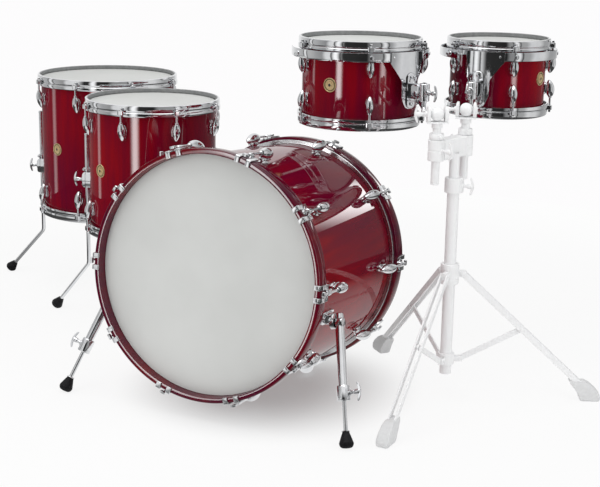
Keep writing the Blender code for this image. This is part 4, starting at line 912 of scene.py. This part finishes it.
def suspension(drum, mount_height):
    """A tom's suspension mount, bracket towards +X: band on the rods, tapered plate, oblong
    bracket with its clamp, knurled barrel and wing screw."""
    reach = drum.radius
    high = drum.depth / 2 - 0.0145
    inner = reach + 0.0260
    band = swept("suspension band", inner, inner + 0.0028, high - 0.0230, high, radians(-135.0),
        radians(270.0), 96, 0.0009)
    pieces = [band]
    for turn in (-1.5, -0.5, 0.5, 1.5):
        at = rotated(2 * pi / 5 * turn) @ moved(reach)
        tab = lofted("band tab", mm([(-19, 19.6, 27.2, 7), (-4, 19.6, 27.2, 7)], high), 0.0012)
        grommet = turned("tab grommet", mm([(3.1, -16.8), (5.8, -16.4), (6.2, -14.5), (6.2, -6.5),
            (5.8, -4.6), (3.1, -4.2)], 0.0, high), 28, ring=True, at=moved(ROD_OUT))
        screw = turned("band screw", mm([(5.2, 28.4), (5.5, 29.6), (5, 30.6), (3, 31.2)]), 28,
            at=moved(z=high - 0.0115) @ ON_X)
        pieces += [placed(piece, at) for piece in (tab, finish_with(grommet, NYLON_AND_PAINTED_SHADE), screw)]
    plate_in = reach + 0.0271
    columns = mm([(-64, -24), (-52, -40.5), (-40, -56.9), (-31, -69), (-29.4, -73), (-29, -79),
        (-28.9, -111), (-26.2, -120), (-21.5, -131), (-16, -139.5), (-8, -143.5)], 0.0, high)
    columns += [(-y, z) for y, z in reversed(columns)]
    plate = curved_plate("suspension plate", plate_in, plate_in + 0.0026, columns, high + 0.0012)
    pieces.append(plate)
    plate_out = plate_in + 0.0026
    for y in (-0.0530, 0.0530):
        rivet = turned("plate rivet", mm([(2.6, -0.4), (2.8, 0.4), (2.2, 1.2), (1.2, 1.5)]), 20)
        corner = rotated(asin(y / plate_out)) @ moved(plate_out, z=high - 0.0115)
        pieces.append(placed(rivet, corner @ ON_X))
    base = turned("bracket plate", mm([(14.2, -1.6), (15, -0.6), (15, 2), (13.8, 3.2), (10, 3.4)]), 48)
    stretch_ends(base, 0.030)
    placed(base, moved(plate_out, z=mount_height) @ ON_X)
    # A thin black sheet just round the bracket plate: a painted shadow line, given the black nylon
    # material.
    recess = turned("bracket shadow line", mm([(15.6, -1.2), (15.8, -0.4), (15.4, 0.2), (10, 0.3)]), 48)
    stretch_ends(recess, 0.030)
    placed(finish_with(recess, NYLON_AND_PAINTED_SHADE), moved(plate_out, z=mount_height) @ ON_X)
    pieces.append(base)
    for z in (-0.0340, 0.0340):
        bolt = turned("bracket bolt", mm([(4.4, 3), (4.7, 4.4), (4.3, 6.2), (2.8, 6.8)]), 28)
        pieces.append(placed(bolt, moved(plate_out, z=mount_height + z) @ ON_X))
    arm_at = reach + ARM_OUT
    neck = lofted("bracket neck", mm(two_way([(-20, 0, -14, 9.6), (-12, 0, -10, 11.8)], 0), mount_height,
        plate_out, arm_at), 0.0022)
    barrel = turned("bracket barrel", mm(two_way([(6, -22), (11.8, -22), (13, -20.8), (13, -9.2),
        (12.2, -8.6), (12.2, -7), (13.2, -6.4)], 1)), 40, ring=True, at=moved(arm_at, z=mount_height))
    block_end = moved(arm_at + 0.0130, z=mount_height)
    knurl = turned("bracket knurl", mm([(9.2, -6), (9.8, -5), (9.8, 0.2), (8.8, 1.2)]), 14,
        at=block_end @ ON_X)
    screw = placed(wing_screw(), block_end)
    pieces += [neck, barrel, knurl]
    return gathered(drum.name + " suspension", pieces + [screw, recess], CHROME)


def curved_plate(name, inner, outer, columns, high):
    """A plate bent round Z: a thin upright rectangle carried round, its lower end at each column's
    (distance sideways, height)."""
    clear_hands()
    middle = (inner + outer) / 2
    across, low = columns[0]
    turn = asin(across / middle)
    bpy.ops.mesh.primitive_plane_add(size=1.0, location=(middle, 0.0, (low + high) / 2),
        rotation=(pi / 2, 0.0, 0.0))
    piece = bpy.context.object
    piece.name = name
    piece.scale = (outer - inner, high - low, 1.0)
    settle(piece)
    piece.data.transform(rotated(turn))
    edit(piece)
    for next_across, next_low in columns[1:]:
        next_turn = asin(next_across / middle)
        bpy.ops.mesh.extrude_region_move(TRANSFORM_OT_translate={"value": (0.0, 0.0, 0.0)})
        bpy.ops.transform.rotate(value=turn - next_turn, orient_axis="Z", center_override=(0.0, 0.0, 0.0))
        bpy.ops.transform.resize(value=(1.0, 1.0, (high - next_low) / (high - low)),
            center_override=(0.0, 0.0, high))
        turn, low = next_turn, next_low
    return softened(close_up(piece), 0.0007)


def stretch_ends(piece, length):
    """Turns a round piece into an oblong one: its two halves move apart along X."""
    pick_points(piece, lambda place: place.x > 0.0001)
    bpy.ops.transform.translate(value=(length, 0.0, 0.0))
    pick_points(piece, lambda place: place.x < -0.0001)
    bpy.ops.transform.translate(value=(-length, 0.0, 0.0))
    hold(piece)


def tom_arm(reach):
    """A tom's bent arm in its ball's frame: X towards the drum's bracket, Z up."""
    elbow = Vector((reach, 0.0, ARM_LEVEL - BALL_HEIGHT))
    rise = elbow.normalized()
    rod = bent_rod("arm rod", 0.0055, (reach, 0.0, TOM_MOUNT_HEIGHT + 0.0245 - BALL_HEIGHT), elbow,
        rise * BALL_RADIUS * 0.5, 0.020, 24)
    angles = [radians(a) for a in (8, 20, 35, 50, 65, 80, 90, 100, 115, 130, 145, 158, 170)]
    ball = turned("arm ball", [(BALL_RADIUS * sin(a), BALL_RADIUS * cos(a)) for a in angles], 36,
        angle=60.0, at=frame_at(NOWHERE, UPWARDS, rise))
    neck = turned("arm neck", mm([(5.6, -1.65), (9.2, -0.66), (8.6, 6), (6.2, 12), (5.6, 14)], 0.0,
        BALL_RADIUS), 28, ring=True, at=frame_at(NOWHERE, UPWARDS, rise))
    painted(finish_with(rod, CHROME), PALE, lambda centre, normal: centre.z < elbow.z + 0.012)
    return gathered("tom arm", [rod, ball, neck], PALE)


def ball_clamp():
    """The yoke round an arm's ball: two cheeks that rise from a round base, and a wing screw."""
    inner, outer = BALL_RADIUS + 0.0003, BALL_RADIUS + 0.0088
    low = -inner - 0.016
    pieces = []
    for way in (-1, 1):
        cheek = lofted("clamp cheek", mm([(-16.5, 0, -1, 12), (-8, 0, 0, 15), (6, 0, 0, 15.8),
            (14, 0, -1.2, 14), (18.375, 1, -3, 9.6)], 0.0, inner, outer), 0.0010, at=rotated(way * pi / 2))
        pieces.append(cheek)
    base = lofted("clamp base", [(low + 0.0120, -0.0158, 0.0158, outer - 0.0008),
        (-inner - 0.0002, -0.0150, 0.0150, outer)], 0.0012)
    foot = turned("clamp foot", mm([(10, 0), (12.8, 0.8), (13, 10), (15, 13)], 0.0, low), 40)
    cap = turned("cheek cap", mm([(8.8, -1.2), (9.2, 0.4), (8, 1.4), (5, 1.6)]), 32,
        at=moved(y=-outer) @ rotated(-pi / 2) @ ON_X)
    pieces += [base, foot, cap]
    screw = placed(wing_screw(PALE), moved(y=outer) @ rotated(pi / 2))
    return gathered("ball clamp", pieces + [screw], PALE)


def post(lock_low, top, foot):
    """A post of the double stand with its memory lock, in the ball's frame."""
    tube = turned("post tube", [(0.0090, foot), (0.0100, foot + 0.0010), (0.0100, top - 0.0010),
        (0.0092, top)], 40)
    lock = turned("post lock", mm([(10.1, 0), (16.2, 0.4), (17, 1.6), (17, 13.4), (16.2, 14.6), (10.1, 15)],
        0.0, lock_low), 40, ring=True)
    key = turned("lock key", mm([(3, 0), (3.4, 2), (3.4, 6), (2.6, 6.8)]), 20,
        at=rotated(radians(200)) @ moved(0.0164, z=lock_low + 0.0075) @ ON_X)
    return gathered("post", [tube, lock, key], PALE)


def build_tom_mounts(middle, bar_azimuth):
    """For each rack tom: suspension, arm, post and ball clamp."""
    made = post(0.6483 - BALL_HEIGHT, -BALL_RADIUS - 0.0166, 0.540 - BALL_HEIGHT)
    clamp = ball_clamp()
    posts = []
    for drum, side, bracket_azimuth in ((TOM_12, -1, TOM_12_BRACKET), (TOM_10, 1, TOM_10_BRACKET)):
        ball = middle + polar(side * POST_PITCH / 2, bar_azimuth, BALL_HEIGHT)
        centre = drum.frame.translation
        arm_foot = Vector((centre.x, centre.y, 0.0)) + polar(drum.radius + ARM_OUT, bracket_azimuth)
        across = Vector((arm_foot.x - ball.x, arm_foot.y - ball.y, 0.0))
        at_ball = frame_at(ball, across, UPWARDS)
        mount = suspension(drum, TOM_MOUNT_HEIGHT - centre.z)
        placed(mount, drum.frame @ rotated(bracket_azimuth))
        on_body(mount, drum.body)
        arm = placed(tom_arm(across.length), at_ball)
        arm.name = drum.name + " arm"
        on_body(arm, drum.body)
        posts.append((drum.name, at_ball))
    for pattern, part, node in ((made, "post", "post"), (clamp, "clamp", "ball_clamp")):
        for (name, at_ball), piece in zip(posts, copies(pattern, [at for name, at in posts])):
            piece.name = "%s %s" % (name, part)
            on_body(piece, "%s_%s" % (name, part), "%s_%s" % (name, node))


def stand_leg():
    """A double-braced tripod leg in its pivot's frame: two flat bars, rivets and a rubber foot."""
    run = STAND_LEG_END - HUB_PIVOT
    pieces = []
    for side in (-1, 1):
        bar = flat_bar("leg bar", run.length - 0.0174, 0.0075, 0.0040)
        lean = rotated(atan2(-run.z, run.x), "Y")
        placed(bar, moved(y=side * 0.0080) @ lean @ rotated(pi / 2, "X"))
        pieces.append(bar)
        for share in (0.0, BRACE_SHARE):
            rivet = turned("rivet", mm([(4.4, 0), (4.6, 0.8), (3.6, 1.8), (2, 2.1)]), 24)
            spot = run * share
            placed(rivet, moved(spot.x, side * 0.0100, spot.z) @ rotated(-side * pi / 2, "X"))
            pieces.append(rivet)
    pivot = turned("leg pivot pin", mm([(3, -6.2), (3, 6.2)]), 20,
        at=Matrix.Translation(run * BRACE_SHARE) @ rotated(pi / 2, "X"))
    pieces.append(pivot)
    foot = lofted("stand foot", mm([(0, 303, 342, 11), (3, 298.5, 347, 14.2), (11, 296, 348, 15.4),
        (20, 292, 345, 15.6), (32, 284, 335, 15), (44, 274, 321, 13.6), (52, 269, 308, 11)]), 0.0030,
        at=moved(z=-HUB_PIVOT.z))
    return gathered("stand leg", pieces + [finish_with(foot, PALE_RUBBER)], PALE)


def flat_bar(name, length, radius, wall):
    """A flat bar with round ends, lying along X from the origin."""
    bar = turned(name, two_way(mm([(-0.6, 0), (0, 0.6)], radius, -wall / 2), 1), 24)
    pick_points(bar, lambda place: place.x > 0.0001)
    bpy.ops.transform.translate(value=(length, 0.0, 0.0))
    hold(bar)
    return bar


def stand_brace():
    run = HUB_PIVOT + (STAND_LEG_END - HUB_PIVOT) * BRACE_SHARE - COLLAR_PIVOT
    bar = flat_bar("brace bar", run.length, 0.0070, 0.0045)
    lean = rotated(atan2(-run.z, run.x), "Y")
    return finish_with(placed(bar, lean @ rotated(pi / 2, "X")), PALE)


def build_stand():
    """The double tom stand: base tube, hub, legs, braces, height tube with its twin clamp."""
    column = Matrix.Translation(STAND_PLACE)
    tube = turned("base tube", mm([(12.7, 60), (14, 60.4), (14.3, 61.4), (14.3, 85), (19.6, 85.2),
        (20.5, 86.2), (20.5, 111.8), (19.6, 112.8), (14.3, 113), (14.3, 516), (20.6, 516.2), (21.5, 517.4),
        (21.5, 550.5), (20.4, 552), (12.7, 552)]), 64, ring=True)
    pieces = [tube]
    for azimuth in STAND_LEG_AZIMUTHS:
        for side in (-1, 1):
            y = side * 0.00405
            cheek = block("collar cheek", (0.0180, y - 0.0015, 0.0920), (0.0395, y + 0.0015, 0.1060),
                0.0008)
            rivet = turned("cheek rivet", mm([(3.8, 0), (4, 0.6), (3, 1.4)]), 20,
                at=moved(0.034, side * 0.00555, 0.099) @ rotated(-side * pi / 2, "X"))
            pieces += [placed(cheek, rotated(radians(azimuth))), placed(rivet, rotated(radians(azimuth)))]
    lug = lofted("height clamp lug", mm([(518, 18, 23.6, 7), (550, 18, 23.6, 7)]), 0.0012)
    pieces.append(lug)
    screw = placed(wing_screw(PALE), moved(0.0212, z=0.534))
    base = gathered("stand base tube", pieces + [screw], PALE)
    on_body(placed(base, column), "kit")

    hub = turned("hub", mm(two_way([(14.6, -25), (21.4, -25), (22.5, -23.8), (22.5, -12), (21.2, -11)], 1)),
        64, ring=True)
    pieces = [hub]
    for azimuth in STAND_LEG_AZIMUTHS:
        ear = block("hub ear", (0.0180, -0.0057, -0.0082), (0.0414, 0.0057, 0.0082), 0.0016)
        pieces.append(placed(ear, rotated(radians(azimuth))))
    hub = gathered("stand hub", pieces, PALE)
    on_body(placed(hub, column @ moved(z=HUB_PIVOT.z)), "hub")

    turns = [column @ rotated(radians(azimuth)) for azimuth in STAND_LEG_AZIMUTHS]
    legs = copies(stand_leg(), [turn @ Matrix.Translation(HUB_PIVOT) for turn in turns])
    braces = copies(stand_brace(), [turn @ Matrix.Translation(COLLAR_PIVOT) for turn in turns])
    for letter, leg, brace in zip("abc", legs, braces):
        leg.name, brace.name = "stand leg " + letter, "stand brace " + letter
        on_body(leg, "leg_" + letter)
        on_body(brace, "brace_" + letter)

    bar_azimuth = radians(71.7)
    middle = STAND_PLACE + polar(0.0138, bar_azimuth + pi / 2)
    bar_frame = Matrix.Translation(middle) @ rotated(bar_azimuth)
    tube = turned("height tube", mm([(10.4, 235), (11.9, 235.4), (12.3, 236.4), (12.3, 612), (10.4, 612)]),
        56, ring=True)
    pieces = [placed(tube, column)]
    ends = []
    for side in (-1, 1):
        end = turned("clamp end", mm(two_way([(10.3, -25), (18.4, -25), (19.5, -23.8), (19.5, -2.2),
            (18.6, -1.4)], 1), 0.0, TWIN_CLAMP_HEIGHT), 56, ring=True)
        ends.append(placed(end, bar_frame @ moved(side * POST_PITCH / 2)))
    bridge = lofted("clamp bridge", mm(two_way([(-24.6, -42, 42, 15), (-22, -43, 43, 17.6)], 0),
        TWIN_CLAMP_HEIGHT), 0.0016)
    hollow = lofted("clamp recess", mm([(609, -30, 30, 18), (637, -30, 30, 18)]), 0.0010)
    pieces += ends + [placed(bridge, bar_frame), placed(hollow, bar_frame)]
    screws = []
    for side in (-1, 1):
        at_post = moved(side * POST_PITCH / 2, side * 0.0186, TWIN_CLAMP_HEIGHT)
        screws.append(placed(wing_screw(PALE), bar_frame @ at_post @ rotated(side * pi / 2)))
    whole = gathered("stand height tube", pieces + screws, PALE)
    on_body(whole, "height_tube")
    return middle, bar_azimuth


def facing(place, aim, front):
    """The placement of a lamp or card whose front axis looks at the aim."""
    turn = (Vector(aim) - Vector(place)).to_track_quat(front, "Y")
    return Matrix.Translation(place) @ turn.to_matrix().to_4x4()


def light_panel(name, place, aim, width, height, power, mirrored=False):
    """A soft rectangular lamp that faces the aim."""
    lamp = bpy.data.lights.new(name, "AREA")
    lamp.shape = "RECTANGLE"
    lamp.size, lamp.size_y, lamp.energy = width, height, power
    panel = bpy.data.objects.new(name, lamp)
    bpy.context.scene.collection.objects.link(panel)
    panel.matrix_world = facing(place, aim, "-Z")
    panel.visible_glossy = mirrored


def bright_card(name, place, aim, width, height, in_metal, in_lacquer):
    clear_hands()
    bpy.ops.mesh.primitive_plane_add(size=1.0)
    card = bpy.context.object
    card.name = name
    card.scale = (width, height, 1.0)
    settle(card)
    card.matrix_world = facing(place, aim, "Z")
    shine = Finish(name, (0.0, 0.0, 0.0), 1.0, specular=0.0)
    middle = faded(shine, NOWHERE, width * 0.06, width * 0.50, 1.0, 0.02, (1.0, 0.0, 0.0))
    level = ray_kinds(shine)[2] * (in_lacquer - in_metal) + in_metal
    glow = shine.node("ShaderNodeEmission", None, {"Strength": middle * level})
    shine.feed(shine.output, glow.outputs[0])
    finish_with(card, shine.material)
    card.visible_camera = card.visible_diffuse = card.visible_shadow = card.visible_transmission = False


def ray_kinds(board):
    """One for rays straight from the camera or through glass, one for mirrored rays, and one for
    the rays that a coat as smooth as glass mirrors, as on the lacquer."""
    ray = board.node("ShaderNodeLightPath").outputs
    camera, glass, mirrored, crisp = (Reading(board, ray["Is %s Ray" % kind])
        for kind in ("Camera", "Transmission", "Glossy", "Singular"))
    return camera.or_higher(glass), mirrored, crisp


def softly(board, reading, near, far, low, high):
    """A level that runs softly from low to high while the reading goes from near to far."""
    inputs = {"Value": reading, "From Min": near, "From Max": far, "To Min": low, "To Max": high}
    fade = board.node("ShaderNodeMapRange", {"interpolation_type": "SMOOTHSTEP"}, inputs)
    return Reading(board, fade.outputs["Result"])


def faded(finish, middle, near, far, low, high, scale=(1.0, 1.0, 1.0)):
    """A level that runs softly from low to high with the distance from a spot."""
    inputs = {"Vector": finish.place, "Location": [-a * b for a, b in zip(middle, scale)], "Scale": scale}
    mapping = finish.node("ShaderNodeMapping", None, inputs)
    length = finish.node("ShaderNodeVectorMath", {"operation": "LENGTH"}, {0: mapping.outputs["Vector"]})
    return softly(finish, length.outputs["Value"], near, far, low, high)


def make_floor_paper():
    """White paper. Straight rays see the bass drum's shadow on it, partly cast on the paper and partly
    painted, as the glow is dimmed near the drum, and further out it fades into the backdrop."""
    paper = Finish("white paper floor", (0.86, 0.86, 0.86), 0.9, specular=0.0)
    paper.set({"Emission Color": opaque(1.0, 1.0, 1.0), "Emission Strength": 0.10})
    straight, mirrored, crisp = ray_kinds(paper)
    # Near the bass drum less glow is mixed in, so the paper's cast shadow shows more.
    shadow = faded(paper, PAINTED_SHADOW_MIDDLE, 0.08, 0.40, 0.62, 0.88)
    # Painted shadow: the glow that straight rays see dims from 1.0 to 0.42 towards the middle under the
    # bass drum.
    under = faded(paper, PAINTED_SHADOW_MIDDLE, 0.08, 0.40, 0.42, 1.0)
    edge = faded(paper, NOWHERE, 1.20, 2.05, 0.0, 0.12)
    near_kit = faded(paper, (0.0, 0.1, 0.0), 0.55, 1.15, 0.92, 0.06) * (crisp * -0.35 + 1.0)
    in_front = faded(paper, (-0.45, -1.35, 0.0), 0.40, 0.85, 0.90, 0.0) * (1.0 - crisp)
    amount = (straight * (shadow + edge)).or_higher(mirrored)
    level = (straight * under).or_higher(near_kit.or_higher(in_front) * mirrored)
    glow = paper.node("ShaderNodeEmission", None, {"Color": level, "Strength": 0.98})
    paper.show_mix(amount, paper.surface, glow)
    return paper.material


def compass(board, turn, *levels):
    """Grey levels round the room, by the angle from the x axis in degrees."""
    ramp = board.node("ShaderNodeValToRGB", None, {"Fac": turn})
    stops = ramp.color_ramp.elements
    stops[0].color = stops[-1].color = opaque(*[levels[0][1]] * 3)
    for angle, level in levels[1:]:
        stops.new((angle + 180.0) / 360.0).color = opaque(level, level, level)
    return ramp.outputs["Color"]


def make_backdrop():
    """Straight rays see it white; mirrored ones see bright and dark sides, at other levels in the
    lacquer than in the metal; all the others see an even fill."""
    world = bpy.data.worlds.new("white studio")
    bpy.context.scene.world = world
    world.use_nodes = True
    room = Board(world.node_tree, "World Output")
    fill = room.nodes["Background"]
    room.feed(fill.inputs["Color"], opaque(1.0, 1.0, 1.0))
    room.feed(fill.inputs["Strength"], 0.60)
    place = room.node("ShaderNodeTexCoord").outputs["Generated"]
    x, y, z = (Reading(room, way) for way in room.node("ShaderNodeSeparateXYZ", None, {0: place}).outputs)
    turn = y.worked("ARCTAN2", y, x) * (0.5 / pi) + 0.5
    in_metal = compass(room, turn, (-180.0, 0.46), (-160.0, 0.50), (-134.0, 0.32), (-127.0, 0.80),
        (-107.0, 0.80), (-100.0, 0.28), (-96.0, 0.03), (-56.0, 0.02), (-49.0, 0.28), (-8.0, 0.40),
        (4.0, 0.75), (28.0, 0.70), (48.0, 0.38), (78.0, 0.45), (101.0, 0.90), (136.0, 0.90))
    in_lacquer = compass(room, turn, (-180.0, 0.13), (-160.0, 0.07), (-101.0, 0.05), (-96.0, 0.02),
        (-56.0, 0.02), (-49.0, 0.05), (10.0, 0.06), (45.0, 0.12), (68.0, 0.16), (88.0, 0.26), (97.0, 0.40),
        (105.0, 1.05), (118.0, 0.80), (138.0, 0.20), (160.0, 0.14))
    straight, mirrored, crisp = ray_kinds(room)
    sides = room.blend(crisp, in_metal, in_lacquer)
    upper = softly(room, z, 0.50, 0.80, 0.0, 0.90) * (crisp * -0.75 + 1.0)
    seen = room.blend(upper.or_higher(straight), sides, opaque(0.98, 0.975, 0.98))
    white = room.node("ShaderNodeBackground", None, {"Color": seen, "Strength": 1.0})
    room.show_mix(straight.or_higher(mirrored), fill, white)


def set_up_studio():
    clear_hands()
    bpy.ops.mesh.primitive_circle_add(vertices=96, radius=2.15, fill_type="NGON")
    floor = finish_with(bpy.context.object, make_floor_paper())
    floor.name = "studio floor"
    make_backdrop()
    light_panel("panel above", (0.1, -0.6, 2.9), (0.0, 0.0, 0.3), 2.6, 2.2, 30.0, mirrored=True)
    light_panel("panel front", (-0.93, -3.00, 1.45), (0.0, 0.0, 0.55), 1.2, 2.3, 17.0)
    light_panel("panel left", (-2.84, -0.98, 1.05), (-0.1, 0.0, 0.55), 1.2, 2.1, 9.0)
    light_panel("panel right", (2.80, -1.07, 1.05), (0.2, 0.0, 0.65), 1.2, 2.1, 12.0)
    bright_card("card front", (-0.27, -1.75, 0.75), (0.1, 0.1, 0.75), 0.58, 2.6, 1.1, 12.5)
    bright_card("card left", (-2.70, -0.50, 0.75), (0.0, 0.1, 0.75), 0.56, 2.6, 0.9, 2.4)
    bright_card("card right", (2.13, -0.71, 0.75), (0.3, 0.1, 0.75), 0.60, 2.6, 0.9, 8.0)
    bright_card("card behind", (0.965, 2.20, 1.16), (0.3, -0.2, 0.5), 1.20, 0.60, 0.9, 6.5)


def aim_camera():
    """The view of the photo."""
    lens = bpy.data.cameras.new("catalogue view")
    lens.lens = FOCAL_LENGTH
    lens.sensor_width = 36.0
    lens.shift_x, lens.shift_y = LENS_SHIFT
    camera = bpy.data.objects.new("catalogue view", lens)
    bpy.context.scene.collection.objects.link(camera)
    camera.matrix_world = (Matrix.Translation(CAMERA_PLACE) @ rotated(CAMERA_PAN)
        @ rotated(CAMERA_TILT, "X") @ rotated(CAMERA_ROLL))
    bpy.context.scene.camera = camera


for upright in (FLOOR_16, FLOOR_14, TOM_12, TOM_10):
    build_upright_drum(upright)
build_spurs(build_bass_drum())
build_floor_legs(FLOOR_16, radians(190.0), 0.356, 0.364)
build_floor_legs(FLOOR_14, radians(188.0), 0.395, 0.325)
build_tom_mounts(*build_stand())
set_up_studio()
aim_camera()
bpy.context.scene.view_settings.view_transform = "Standard"

clear_hands()
